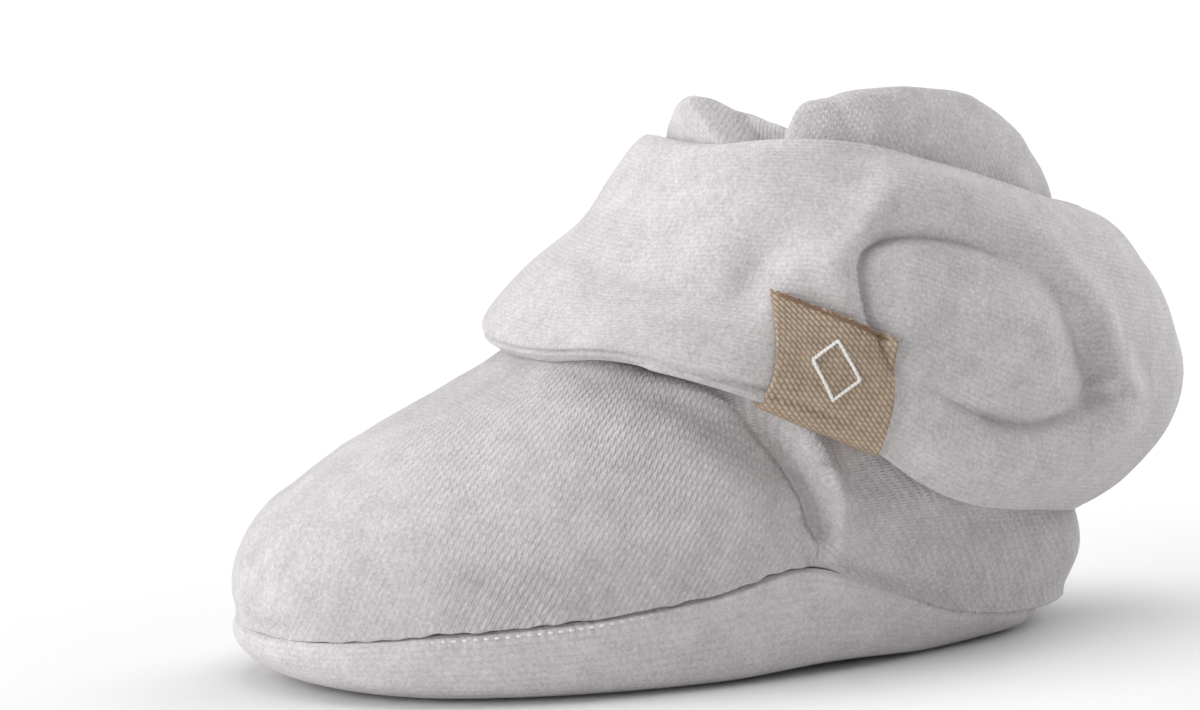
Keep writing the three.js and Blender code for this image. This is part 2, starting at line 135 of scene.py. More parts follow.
@dataclass
class Last:
    """The foot form that every piece follows: sizes and tables of sections, as shares of those sizes."""

    sole_length: float = 105.0
    ball_width: float = 52.0
    collar_height: float = 55.0
    wrap_width: float = 56.0
    seam_height: float = 13.0
    toe_spring: float = 1.4
    arch_lift: float = 0.6
    gap: float = 0.3
    fullness: float = 0.9
    heel_taper: float = 0.27
    seam: Table = field(default_factory=lambda: Table(
        "station height",
        (0.0, 0.5), (0.12, 0.62), (0.3, 0.73), (0.44, 0.86), (0.55, 1.0), (0.65, 0.75), (0.76, 0.42), (0.88, 0.24),
        (1.0, 0.225)))
    sole_rings: Table = field(default_factory=lambda: Table(
        "front rear half height",
        (0.07, 0.93, 0.8, 0), (0.04, 0.945, 0.89, 0.07), (0.017, 0.96, 0.95, 0.24), (0.004, 0.975, 0.988, 0.55),
        (0.003, 0.985, 0.995, 0.82), (0.01, 0.992, 0.985, 1)))
    upper_rings: Table = field(default_factory=lambda: Table(
        "front rear half middle toe side heel",
        (0.01, 0.992, 0.985, 0.42, 0.13, 0.2, 0.06), (-0.004, 1.004, 1.01, 0.42, 0.185, 0.26, 0.14),
        (0.002, 1.006, 1.005, 0.44, 0.26, 0.315, 0.22), (0.03, 1.0, 0.98, 0.47, 0.338, 0.365, 0.3),
        (0.082, 0.99, 0.945, 0.48, 0.41, 0.42, 0.38), (0.15, 0.982, 0.9, 0.49, 0.48, 0.485, 0.46),
        (0.225, 0.978, 0.855, 0.5, 0.55, 0.56, 0.55), (0.31, 0.98, 0.81, 0.5, 0.62, 0.64, 0.65),
        (0.4, 0.982, 0.77, 0.5, 0.71, 0.73, 0.75), (0.48, 0.982, 0.72, 0.5, 0.82, 0.83, 0.85),
        (0.525, 0.958, 0.66, 0.5, 0.92, 0.93, 0.95), (0.545, 0.905, 0.58, 0.5, 1.0, 1.0, 1.0)))
    collar_edge: Table = field(default_factory=lambda: Table(
        "angle height",
        (-180, 1.02), (-140, 0.99), (-90, 0.97), (0, 1.0), (39, 1.03), (46, 1.14), (58, 1.165), (78, 1.185),
        (112, 1.178), (136, 1.13), (152, 1.07), (166, 1.035), (180, 1.02)))
    wrap_rings: Table = field(default_factory=lambda: Table(
        "share front rear half middle",
        (0.0, 0.306, 1.012, 0.925, 0.46), (0.09, 0.307, 1.075, 0.985, 0.46), (0.26, 0.342, 1.135, 1.0, 0.46),
        (0.48, 0.396, 1.155, 0.98, 0.45), (0.7, 0.447, 1.12, 0.915, 0.44), (0.88, 0.48, 1.068, 0.83, 0.43),
        (1.0, 0.498, 1.012, 0.755, 0.42)))
    wrap_lower: Table = field(default_factory=lambda: Table(
        "station height",
        (0.3, 0.652), (0.35, 0.668), (0.41, 0.645), (0.49, 0.598), (0.55, 0.548), (0.62, 0.485), (0.7, 0.385),
        (0.77, 0.33), (0.86, 0.295), (1.0, 0.245)))
    wrap_upper_outer: Table = field(default_factory=lambda: Table(
        "station height",
        (0.49, 1.09), (0.54, 1.12), (0.63, 1.105), (0.72, 1.055), (0.8, 1.01), (0.9, 0.95), (1.02, 0.885)))
    wrap_upper_inner: Table = field(default_factory=lambda: Table(
        "station height", (0.49, 1.095), (0.54, 1.03), (0.63, 0.985), (0.8, 0.94), (1.02, 0.885)))
    strap: Table = field(default_factory=lambda: Table(
        "turn low high",
        (-84, 0.82, 0.95), (-50, 0.79, 0.98), (-24, 0.77, 1.03), (-6, 0.76, 1.115), (4, 0.76, 1.16), (12, 0.76, 1.164),
        (22, 0.765, 1.137), (34, 0.78, 1.118), (46, 0.79, 1.095), (53, 0.8, 1.03), (60, 0.82, 0.98)))

    @property
    def half(self) -> float:
        """Half the ball width."""
        return self.ball_width / 2

    @property
    def toe_x(self) -> float:
        """X of the toe's station 0, with the box centred between the toe and the wrap's rear."""
        rear = self.wrap_rings.columns["rear"].max()
        return self.sole_length * (rear + self.upper_rings.columns["front"].min()) / 2

    def point(self, station: Array, side: Array, height: Array) -> Array:
        """Row-frame points from stations, sideways places and heights."""
        return np.stack(np.broadcast_arrays(self.toe_x - station, side, height), axis=-1)

    def station(self, points: Array) -> Array:
        """Stations of row-frame points."""
        return self.toe_x - points[..., 0]

    def seam_at(self, station: Array) -> Array:
        """Height of the sole seam at stations."""
        return self.seam_height * self.seam.along("station", "height", station / self.sole_length)

    def lift(self, station: Array) -> Array:
        """How far the sole's underside is lifted: a parabola under the toe, and a sine squared under the waist."""
        toe = np.maximum(1 - station / 18, 0) ** 2
        waist = np.clip((station - 48) / 32, 0, 1)
        return self.toe_spring * toe + self.arch_lift * np.sin(np.pi * waist) ** 2

    def plan(self, front: Array, rear: Array, half: Array, middle: Array, turn: Array) -> tuple[Array, Array, Array]:
        """A ring seen from above: an egg whose halves are ellipses, with the sine raised to the fullness.

        Args:
            front, rear: stations of its ends.
            half: its half width.
            middle: where it is widest, as a share of its length.
            turn: angle from the toe, in radians.
        Returns:
            Stations, sideways places and the cosine of the turn.
        """
        c, s = np.cos(turn), np.sin(turn)
        centre = front + (rear - front) * middle
        station = centre - np.where(c > 0, centre - front, rear - centre) * c
        narrow = 1 - self.heel_taper * np.minimum(c, 0) ** 2
        return station, half * np.sign(s) * np.abs(s) ** self.fullness * narrow, c

    def ring(self, table: Table, place: Array, half: float, turn: Array) -> tuple[Array, Array, Array]:
        """The plan of a table's ring at a place between its rows."""
        ends = [table.at(name, place) * self.sole_length for name in ("front", "rear")]
        return self.plan(*ends, table.at("half", place) * half, table.at("middle", place), turn)

    def upper(self, place: Array, turn: Array) -> Array:
        """The upper's outside: rings whose heights go from the sole seam to the collar's edge.

        The height is side + (end - side)·cos² round a ring, pulled to the seam over the lowest rings and to the
        collar's edge over the highest ones.
        """
        place, turn = np.broadcast_arrays(place, turn)
        station, side, c = self.ring(self.upper_rings, place, self.half, turn)

        def level(row: Array) -> Array:
            toe, flank, heel = (self.upper_rings.at(name, row) for name in ("toe", "side", "heel"))
            return self.collar_height * (flank + np.where(c > 0, toe - flank, heel - flank) * c * c)

        last = self.upper_rings.last
        low = soften(1 - place / 2.5)
        high = soften((place - last + 4) / 4)
        edge = self.collar_height * self.collar_edge.along("angle", "height", wrapped_degrees(turn))
        height = level(place)
        height = height + low * (self.seam_at(station) + self.gap - level(0 * place))
        return self.point(station, side, height + high * (edge - level(0 * place + last)))

    def wrap(self, place: Array, turn: Array) -> Array:
        """The wrap's outside: rings between its lower edge and its top edge, both read at stations."""
        place, turn = np.broadcast_arrays(place, turn)
        width = self.wrap_width / 2
        station, side, _ = self.ring(self.wrap_rings, place, width, turn)
        ends = [self.ring(self.wrap_rings, 0 * place + row, width, turn)[0] / self.sole_length
                for row in (0, self.wrap_rings.last)]
        low = self.wrap_lower.along("station", "height", ends[0])
        outer = self.wrap_upper_outer.along("station", "height", ends[1])
        inner = self.wrap_upper_inner.along("station", "height", ends[1])
        high = inner + (outer - inner) * (0.5 + np.sin(turn) / 2)
        share = self.wrap_rings.at("share", place)
        return self.point(station, side, self.collar_height * (low + (high - low) * share))

    def wrap_edge(self, station: Array) -> Array:
        """Height of the wrap's lower edge at stations."""
        return self.collar_height * self.wrap_lower.along("station", "height", station / self.sole_length)

    def throat(self, side: Array) -> Array:
        """Station of the throat seam at a sideways place: 38.5 + 22.5·(side over 97 % of half width)^2.4."""
        return 38.5 + 22.5 * np.minimum(np.abs(side) / (0.97 * self.half), 1) ** 2.4


def wrapped_degrees(turn: Array) -> Array:
    """Turns as degrees between -180 and 180."""
    return np.degrees(np.arctan2(np.sin(turn), np.cos(turn)))


def outward(surface: Surface, place: Array, turn: Array, last: float) -> Array:
    """Outward directions of a surface: the cross product of its slopes round and up, each from a small step."""
    step = 0.02
    round_it = surface(place, turn + step) - surface(place, turn - step)
    up_it = surface(np.minimum(place + step, last), turn) - surface(np.maximum(place - step, 0), turn)
    return unit(np.cross(round_it, up_it))


def place_at_height(surface: Surface, last: float, turn: Array, height: Array) -> Array:
    """The place at which a surface reaches a height at a turn, by thirty halvings."""
    low, high = np.zeros_like(height), np.full_like(height, last)
    for _ in range(30):
        middle = (low + high) / 2
        under = surface(middle, turn)[..., 2] < height
        low, high = np.where(under, middle, low), np.where(under, high, middle)
    return (low + high) / 2


def arc_lengths(points: Array, axis: int) -> Array:
    """Distance along a grid's lines from their start, on the given axis."""
    steps = np.linalg.norm(np.diff(points, axis=axis), axis=-1)
    return np.concatenate([np.zeros_like(np.take(steps, [0], axis)), np.cumsum(steps, axis)], axis)


@dataclass
class MeshMaker:
    """Turns grids of points into Blender objects at the origin, with a knit UV map and a gather attribute."""

    body: str = "root"

    def grid_faces(self, rows: int, columns: int, close_rows: bool, close_columns: bool) -> NDArray[np.int64]:
        """Quads of a grid that may close on itself either way, facing out when columns turn left and rows rise."""
        i = np.arange(columns if close_columns else columns - 1)
        j = np.arange(rows if close_rows else rows - 1)
        jj, ii = np.meshgrid(j, i, indexing="ij")
        across, above = (ii + 1) % columns, (jj + 1) % rows
        quads = [jj * columns + ii, jj * columns + across, above * columns + across, above * columns + ii]
        return np.stack(quads, axis=-1).reshape(-1, 4)

    def build(self, name: str, points: Array, faces: NDArray[np.int64], uv: Array, slot: str, nodes: tuple[str, ...],
              masks: dict[str, Array] | None = None, weld: bool = False) -> bpy.types.Object:
        """Makes a finished piece.

        Args:
            name: the piece's name.
            points: N by 3, in millimetres.
            faces: M by 4 vertex numbers.
            uv: M by 4 by 2, the knit's place at each corner, in millimetres.
            slot: the record's material slot; not used.
            nodes: the CAD nodes that it stands for.
            masks: vertex attributes, one number for each point.
            weld: whether points at one place are joined.
        Returns:
            The object.
        """
        mesh = bpy.data.meshes.new(name)
        mesh.from_pydata(points.reshape(-1, 3) * MM, [], faces.tolist())
        layer = mesh.uv_layers.new(name="knit")
        layer.data.foreach_set("uv", uv.reshape(-1, 2).astype(np.float32).ravel())
        for key, values in (masks or {}).items():
            attribute = mesh.attributes.new(key, "FLOAT", "POINT")
            attribute.data.foreach_set("value", values.astype(np.float32).ravel())
        if weld:
            work = bmesh.new()
            work.from_mesh(mesh)
            bmesh.ops.remove_doubles(work, verts=work.verts, dist=1e-6)
            bmesh.ops.dissolve_degenerate(work, edges=work.edges, dist=1e-7)
            work.to_mesh(mesh)
            work.free()
        mesh.shade_smooth()
        mesh.validate()
        piece = bpy.data.objects.new(name, mesh)
        bpy.context.collection.objects.link(piece)
        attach(piece, self.body)
        if nodes:
            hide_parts(*nodes)
        LOG.info("%s: %d points, %d faces", name, len(mesh.vertices), len(mesh.polygons))
        return piece


def corner_values(values: Array, faces: NDArray[np.int64]) -> Array:
    """Values at faces' corners from values at points."""
    return values.reshape(-1, values.shape[-1])[faces]


def ring_uv(points: Array, faces: NDArray[np.int64], rows: int, columns: int) -> Array:
    """UV of a closed ring wall: U climbs its rows, V runs round its columns, both as arc lengths.

    The last column joins the first, so its faces get the full way round rather than nought.
    """
    grid = points.reshape(rows, columns, 3)
    up_it = arc_lengths(grid, 0).mean(axis=1)[:, None] + np.zeros((1, columns))
    closed = np.concatenate([grid, grid[:, :1]], axis=1)
    lengths = arc_lengths(closed, 1).mean(axis=0)
    uv = np.stack([up_it, np.broadcast_to(lengths[:-1], up_it.shape)], axis=-1)
    corners = corner_values(uv, faces)
    seam = (faces % columns == 0) & ((faces % columns).max(axis=1, keepdims=True) == columns - 1)
    corners[..., 1] = np.where(seam, lengths[-1], corners[..., 1])
    total = up_it[-1, 0]
    last_row = (faces // columns == 0) & ((faces // columns).max(axis=1, keepdims=True) == rows - 1)
    corners[..., 0] = np.where(last_row, total, corners[..., 0])
    return corners


class Nodes:
    """A small helper that adds shader nodes to one material and links them."""

    def __init__(self, name: str) -> None:
        """Args:
            name: the material's name.
        """
        self.material = bpy.data.materials.new(name)
        self.material.use_nodes = True
        self.tree = self.material.node_tree
        self.shader = self.tree.nodes["Principled BSDF"]

    def add(self, kind: str, **values: object) -> bpy.types.Node:
        """Adds a node and sets its attributes."""
        node = self.tree.nodes.new("ShaderNode" + kind)
        for key, value in values.items():
            setattr(node, key, value)
        return node

    def feed(self, socket: bpy.types.NodeSocket, value: object) -> None:
        """Links a socket to an output, or sets its constant."""
        if isinstance(value, bpy.types.NodeSocket):
            self.tree.links.new(value, socket)
        else:
            socket.default_value = value

    def math(self, operation: str, *values: object, clamp: bool = False) -> bpy.types.NodeSocket:
        """One step of arithmetic on numbers or outputs."""
        node = self.add("Math", operation=operation, use_clamp=clamp)
        for socket, value in zip(node.inputs, values):
            self.feed(socket, value)
        return node.outputs[0]

    def noise(self, vector: object, scale: float, detail: float = 2.0, rough: float = 0.5) -> bpy.types.NodeSocket:
        """A noise texture's number."""
        node = self.add("TexNoise")
        self.feed(node.inputs["Vector"], vector)
        node.inputs["Scale"].default_value = scale
        node.inputs["Detail"].default_value = detail
        node.inputs["Roughness"].default_value = rough
        return node.outputs[0]

    def span(self, value: object, low: float, high: float, to_low: float = 0.0, to_high: float = 1.0) -> bpy.types.NodeSocket:
        """A number moved from one range to another, and held inside it."""
        node = self.add("MapRange", clamp=True)
        for socket, number in zip(node.inputs[:5], (value, low, high, to_low, to_high)):
            self.feed(socket, number)
        return node.outputs[0]

    def mix(self, share: object, one: object, two: object, blend: str = "MIX") -> bpy.types.NodeSocket:
        """A mix of two colours."""
        node = self.add("Mix", data_type="RGBA", blend_type=blend)
        self.feed(node.inputs[0], share)
        self.feed(node.inputs[6], one)
        self.feed(node.inputs[7], two)
        return node.outputs[2]

    def bump(self, height: object, distance: float, strength: float = 1.0, under: object = None) -> bpy.types.NodeSocket:
        """A bump node over an optional coarser one."""
        node = self.add("Bump")
        self.feed(node.inputs["Height"], height)
        node.inputs["Distance"].default_value = distance
        node.inputs["Strength"].default_value = strength
        if under is not None:
            self.feed(node.inputs["Normal"], under)
        return node.outputs[0]


def paint(sr: float, sg: float, sb: float) -> tuple[float, float, float, float]:
    """A linear colour from three sRGB numbers of 0 to 255."""
    rgb = np.array([sr, sg, sb]) / 255
    linear = np.where(rgb <= 0.04045, rgb / 12.92, ((rgb + 0.055) / 1.055) ** 2.4)
    return (*linear.tolist(), 1.0)


@dataclass(frozen=True)
class JerseyFinish:
    """Heathered single jersey: columns of slanted loops, mottled yarn and a soft nap.

    Attributes:
        name: the material's name.
        light, dark: the two yarn colours, sRGB.
        wale: width of a column of loops, in millimetres.
        course: height of a loop, in millimetres.
        relief: depth of the loops, in millimetres.
        dots: how far each loop stands apart from the next.
        flecks: strength of the single dark fibres.
        shadow: brightness of the painted shade at the bottom of the grooves.
        pleats: gathers to a millimetre of seam.
    """

    name: str
    light: tuple[float, float, float] = (219, 215, 216)
    dark: tuple[float, float, float] = (184, 180, 181)
    wale: float = 0.9
    course: float = 0.7
    relief: float = 0.13
    dots: float = 0.35
    flecks: float = 0.4
    shadow: float = 0.82
    pleats: float = 0.95

    def make(self) -> bpy.types.Material:
        """Builds the material.

        The loop height is a round rib across a column, times a cosine along a line that slants away from the
        column's middle, so that the loops make the knit's small arrows.
        """
        n = Nodes(self.name)
        uv = n.add("UVMap", uv_map="knit").outputs[0]
        place = n.add("TexCoord").outputs["Object"]
        wander = n.math("MULTIPLY_ADD", n.noise(place, 260.0, 1.0), 0.5, -0.25)
        split = n.add("SeparateXYZ")
        n.feed(split.inputs[0], uv)
        u = n.math("ADD", n.math("DIVIDE", split.outputs[0], self.wale), wander)
        v = n.math("DIVIDE", split.outputs[1], self.course)
        off = n.math("ABSOLUTE", n.math("SUBTRACT", n.math("FRACT", u), 0.5))
        leg = n.math("SUBTRACT", 1.0, n.math("POWER", n.math("MULTIPLY", off, 2.0), 2.2))
        slant = n.math("ADD", v, n.math("MULTIPLY", off, 1.3))
        wave = n.math("MULTIPLY_ADD", n.math("COSINE", n.math("MULTIPLY", slant, 6.28319)), self.dots, 1 - self.dots)
        loops = n.math("MULTIPLY", n.math("MAXIMUM", leg, 0.0), wave)
        depth = n.add("Attribute", attribute_name="knit_depth").outputs["Fac"]
        loops = n.math("MULTIPLY", n.math("SUBTRACT", loops, 0.5), depth)
        loops = n.math("ADD", loops, 0.5)
        fibre_map = n.add("Mapping", vector_type="POINT")
        n.feed(fibre_map.inputs[0], uv)
        fibre_map.inputs["Scale"].default_value = (3.2, 0.9, 1.0)
        fibres = n.noise(fibre_map.outputs[0], 1.0, 3.0, 0.7)
        gather = n.add("Attribute", attribute_name="gather").outputs["Fac"]
        pleats = n.math("MULTIPLY", n.noise(self._pleat_place(n), 1.0, 1.5), gather)
        mottle = n.math("ADD", n.math("MULTIPLY", n.noise(place, 260.0, 3.0, 0.65), 0.36),
                        n.math("MULTIPLY", n.noise(place, 2300.0, 2.0, 0.7), 0.64))
        share = n.span(mottle, 0.34, 0.66)
        yarn = n.mix(share, paint(*self.dark), paint(*self.light))
        # Painted shade: the bottoms of the knit's grooves are darkened in the base colour, over the shading that the
        # bump gives.
        groove = n.span(loops, 0.0, 0.75, self.shadow, 1.0)
        shade = n.mix(1.0, yarn, self._grey(n, groove), "MULTIPLY")
        speck = n.span(fibres, 0.62, 0.75, 0.0, self.flecks)
        n.feed(n.shader.inputs["Base Color"], n.mix(speck, shade, paint(168, 163, 166)))
        n.shader.inputs["Roughness"].default_value = 0.94
        n.shader.inputs["Specular IOR Level"].default_value = 0.2
        n.shader.inputs["Sheen Weight"].default_value = 0.12
        n.shader.inputs["Sheen Roughness"].default_value = 0.5
        coarse = n.bump(pleats, 0.6 * MM, 1.0)
        knit = n.bump(loops, self.relief * MM, 1.0, coarse)
        n.feed(n.shader.inputs["Normal"], n.bump(fibres, 0.06 * MM, 0.8, knit))
        return n.material

    def _pleat_place(self, n: Nodes) -> bpy.types.NodeSocket:
        """A place that changes fast along a seam and slowly across it, so that noise on it makes short pleats."""
        node = n.add("CombineXYZ")
        along = n.add("Attribute", attribute_name="pleat_along").outputs["Fac"]
        across = n.add("Attribute", attribute_name="pleat_across").outputs["Fac"]
        n.feed(node.inputs[0], n.math("MULTIPLY", along, self.pleats))
        n.feed(node.inputs[1], n.math("MULTIPLY", across, 0.14))
        return node.outputs[0]

    def _grey(self, n: Nodes, value: bpy.types.NodeSocket) -> bpy.types.NodeSocket:
        """A number as a grey colour."""
        node = n.add("CombineColor")
        for socket in node.inputs[:3]:
            n.feed(socket, value)
        return node.outputs[0]


@dataclass(frozen=True)
class WeaveFinish:
    """A coarse tan tape: short slanted ribs of thread in staggered rows."""

    name: str = "tab_weave"
    light: tuple[float, float, float] = (201, 181, 160)
    dark: tuple[float, float, float] = (141, 120, 101)
    pitch: float = 0.6
    lean: float = -38.0

    def make(self) -> bpy.types.Material:
        """Builds the material: each thread's height is a sine across it times a sine along it, in leaning rows; the
        height also colours the threads, lighter on top and darker in the gaps, as painted shade.
        """
        n = Nodes(self.name)
        uv = n.add("UVMap", uv_map="knit").outputs[0]
        place = n.add("TexCoord").outputs["Object"]
        split = n.add("SeparateXYZ")
        n.feed(split.inputs[0], uv)
        lean = np.radians(self.lean)
        across_it = n.math("MULTIPLY_ADD", split.outputs[0], float(np.cos(lean)),
                           n.math("MULTIPLY", split.outputs[1], float(np.sin(lean))))
        along_it = n.math("MULTIPLY_ADD", split.outputs[1], float(np.cos(lean)),
                          n.math("MULTIPLY", split.outputs[0], -float(np.sin(lean))))
        u = n.math("DIVIDE", across_it, self.pitch)
        v = n.math("DIVIDE", along_it, self.pitch * 1.25)
        odd = n.math("MULTIPLY", n.math("FLOORED_MODULO", n.math("FLOOR", u), 2.0), 0.5)
        across = n.math("SINE", n.math("MULTIPLY", n.math("FRACT", u), 3.14159))
        along = n.math("SINE", n.math("MULTIPLY", n.math("FRACT", n.math("ADD", v, odd)), 3.14159))
        height = n.math("MULTIPLY", n.math("POWER", across, 0.8), n.math("POWER", along, 0.45))
        # Partly painted shade: the threads' height makes the gaps between them darker and their tops lighter; the noise
        # adds random tone.
        tone = n.math("ADD", n.math("MULTIPLY", height, 0.75),
                      n.math("MULTIPLY", n.span(n.noise(place, 900.0, 3.0), 0.3, 0.7), 0.3), clamp=True)
        n.feed(n.shader.inputs["Base Color"], n.mix(tone, paint(*self.dark), paint(*self.light)))
        n.shader.inputs["Roughness"].default_value = 0.88
        n.shader.inputs["Specular IOR Level"].default_value = 0.25
        fuzz = n.bump(n.noise(place, 5000.0, 2.0), 0.03 * MM, 0.7)
        n.feed(n.shader.inputs["Normal"], n.bump(height, 0.16 * MM, 1.0, fuzz))
        return n.material


@dataclass(frozen=True)
class ThreadFinish:
    """Sewing thread: a matte colour with fine twist."""

    name: str
    colour: tuple[float, float, float] = (236, 233, 234)

    def make(self) -> bpy.types.Material:
        """Builds the material: noise on the thread's place gives it fibres."""
        n = Nodes(self.name)
        place = n.add("TexCoord").outputs["Object"]
        fibre = n.noise(place, 4000.0, 2.0)
        tone = n.span(fibre, 0.3, 0.7, 0.0, 1.0)
        r, g, b = self.colour
        n.feed(n.shader.inputs["Base Color"], n.mix(tone, paint(r * 0.9, g * 0.9, b * 0.9), paint(r, g, b)))
        n.shader.inputs["Roughness"].default_value = 0.8
        n.feed(n.shader.inputs["Normal"], n.bump(fibre, 0.03 * MM, 0.6))
        return n.material


@dataclass
class RingShell:
    """A wall between an outer and an inner surface, closed round the ankle, with soft edges."""

    maker: MeshMaker
    columns: int = 460
    lip_rows: int = 6
    crowding: float = 0.35

    def turns(self) -> Array:
        """Angles round the foot, as one row, closer together on the outer side: t + crowding·cos t."""
        even = np.linspace(0, 2 * np.pi, self.columns, endpoint=False)[None, :]
        return even + self.crowding * np.cos(even)

    def lip(self, outer: Array, inner: Array, rise: Array, reach: Array) -> Array:
        """Rows over an edge: half an ellipse from the outer edge to the inner one, as high as the reach.

        Args:
            outer, inner: the two edges, each a row of points.
            rise: directions out of the wall's edge.
            reach: how far the edge bulges.
        Returns:
            Rows of points between the two edges.
        """
        a = np.linspace(0, np.pi, self.lip_rows + 2)[1:-1, None, None]
        return (outer + inner) / 2 + np.cos(a) * (outer - inner) / 2 + np.sin(a) * rise * reach

    def stack(self, outer: Array, inner: Array, top_reach: Array, low_reach: Array) -> Array:
        """One closed grid: outer rows up, the top lip, inner rows down, the lower lip."""
        top = self.lip(outer[-1:], inner[-1:], unit(outer[-1:] - outer[-2:-1]), top_reach)
        low = self.lip(inner[:1], outer[:1], unit(outer[:1] - outer[1:2]), low_reach)
        return np.concatenate([outer, top, inner[::-1], low])


@dataclass
class UpperPiece(RingShell):
    """Vamp, quarters and collar: one soft shell with its seams, gathers and puffed collar."""

    last: Last = field(default_factory=Last)
    wall: float = 2.2
    outer_rows: int = 165
    inner_rows: int = 36
    seam_tuck: float = 0.75
    throat_depth: float = 2.3
    piping_rise: float = 1.5

    def relief(self, place: Array, turn: Array, points: Array) -> Array:
        """Height of the seams and folds above the plain surface: bells across each seam, plus a soft unevenness."""
        station, side, height = self.last.station(points), points[..., 1], points[..., 2]
        above = height - self.last.seam_at(station)
        behind = (station - self.last.throat(side)) * 0.9
        shown = soften((44 - height) / 6) * (0.15 + 0.85 * soften((np.abs(side) - 8) / 7))
        front = np.where(behind < 0, 0.72 * bell(behind, 5.4) + 0.28 * bell(behind, 1.8), bell(behind, 1.1))
        piping = self.piping_rise * bell(behind - 2.1, 1.5) * (0.35 + 0.65 * soften((height - 15) / 9))
        throat = shown * (piping - self.throat_depth * front * (0.12 + 0.88 * soften((above - 0.5) / 6)))
        jagged = swell(points, 3.2, 41)
        firm = soften((64 - station) / 5)
        aft = 0.45 * bell(above - 0.2, 0.9) - 0.55 * soften((98 - station) / 14) * bell(above - 1.7, 1.3)
        tuck = (1 - firm) * aft - self.seam_tuck * firm * (1 + 0.35 * jagged) \
            * bell(above - 0.15 - 0.15 * jagged, 0.34)
        tip = firm * (0.55 + 0.4 * soften((14 - station) / 12)) * bell(above, 1.4)
        puff = 0.3 * firm * soften(station / 12) * bell(above - 2.2, 1.4)
        notch = -1.0 * bell(station - 60.8, 1.7) * bell(above - 0.6, 1.2)
        calm = 0.26 * swell(points, 17.0, 3) + 0.12 * swell(points, 7.0, 5)
        heel = 1.1 * soften((station - 90) / 12) * bell(above - 6.0, 4.5)
        collar = soften((place - 7.5) / 2)
        lobe = 0.8 * collar * np.sin(np.pi * np.clip((place - 7.5) / 3.5, 0, 1)) * soften(np.cos(turn - 1.25))
        degrees = wrapped_degrees(turn)
        lean = degrees + 0.8 * (height - 60)
        pinches = -0.4 * bell(lean - 66, 4) - 0.3 * bell(lean - 82, 6) + 0.35 * bell(lean - 98, 10)
        under_wrap = 1.3 * bell(height - self.last.wrap_edge(station) + 0.2, 1.9) * soften((58 - station) / 5)
        return throat + tuck + tip + puff + notch + heel + calm * soften(above / 3) + lobe + pinches * collar + under_wrap

    def outside(self, place: Array, turn: Array) -> Array:
        """The outer surface with its relief, moved along the plain surface's outward direction."""
        plain = self.last.upper(place, turn)
        normal = outward(self.last.upper, place, turn, self.last.upper_rings.last)
        moved = plain + normal * self.relief(place, turn, plain)[..., None]
        moved[..., 2] -= self.last.gap * 0.95 * soften(1 - place / 0.8)
        return moved

    def knit(self, points: Array, faces: NDArray[np.int64], rows: int) -> Array:
        """UV of the knit: on the vamp U is the distance sideways from the ridge, which leans with the station.

        On the quarters the cloth is turned by 38 degrees from the vertical.
        """
        station, side, height = self.last.station(points), points[..., 1], points[..., 2]
        ridge = np.interp(station, [0, 2, 6, 12, 18, 24, 30, 40, 60], [13, 18, 23, 27, 30.3, 32.6, 35.5, 41, 55])
        across = side * np.sqrt(1 + (np.maximum(ridge - height, 0) / np.hypot(side, 5)) ** 2)
        across = across + 0.6 * (station - 20) * side / np.hypot(side, 9)
        vamp = np.stack([across, station * 1.1 - height * 0.25], axis=-1)
        round_it = ring_uv(points, faces, rows, self.columns)
        turn = np.radians(38)
        quarter = np.stack([round_it[..., 1] * np.cos(turn) + round_it[..., 0] * np.sin(turn),
                            round_it[..., 0] * np.cos(turn) - round_it[..., 1] * np.sin(turn)], axis=-1)
        behind = (station - self.last.throat(side)).reshape(-1)[faces].mean(axis=1)
        low = height.reshape(-1)[faces].mean(axis=1) < 46
        is_vamp = ((behind < 0) & low)[:, None, None]
        return np.where(is_vamp, corner_values(vamp, faces), quarter)

    def make(self, finish: bpy.types.Material) -> bpy.types.Object:
        """Builds the shell and dresses it."""
        turn = self.turns()
        last = self.last.upper_rings.last
        place = np.linspace(0, last, self.outer_rows)[:, None]
        outer = self.outside(place, turn)
        few = np.linspace(0, last, self.inner_rows)[:, None]
        plain = self.last.upper(few, turn)
        normal = outward(self.last.upper, few, turn, last)
        thick = self.wall + 1.4 * soften((few - 8.6) / 2.4) * soften((np.cos(turn - 1.9) + 0.7) / 0.9)
        inner = plain - normal * thick[..., None]
        points = self.stack(outer, inner, 0 * turn[..., None] + 1.5, 0 * turn[..., None] + 0.05)
        rows = len(points)
        faces = self.maker.grid_faces(rows, self.columns, True, True)
        station, side, height = self.last.station(points), points[..., 1], points[..., 2]
        behind = station - self.last.throat(side)
        above = height - self.last.seam_at(station)
        near_throat = 0.5 * bell(np.minimum(behind + 1.2, 0), 2.6) * soften(-behind / 0.9) * soften((44 - height) / 6)
        near_sole = 0.8 * bell(above, 2.6) * soften((60 - station) / 4) * soften((station - 8) / 8)
        by_throat = near_throat > near_sole
        gather = np.abs(near_throat - near_sole)
        patchy = 0.75 + 0.35 * swell(points, 16.0, 31)
        masks = {"gather": gather,
                 "knit_depth": patchy * np.where(behind < 0, 0.3 + 0.7 * soften((station - 10) / 14), 0.8),
                 "pleat_along": np.where(by_throat, 24 * np.arctan2(side, height - 12), station + 0.5 * above),
                 "pleat_across": np.where(by_throat, behind, above)}
        piece = self.maker.build("upper_shell", points, faces, self.knit(points, faces, rows), "upper_jersey",
                                 ("upper",), masks)
        piece.data.materials.append(finish)
        return piece


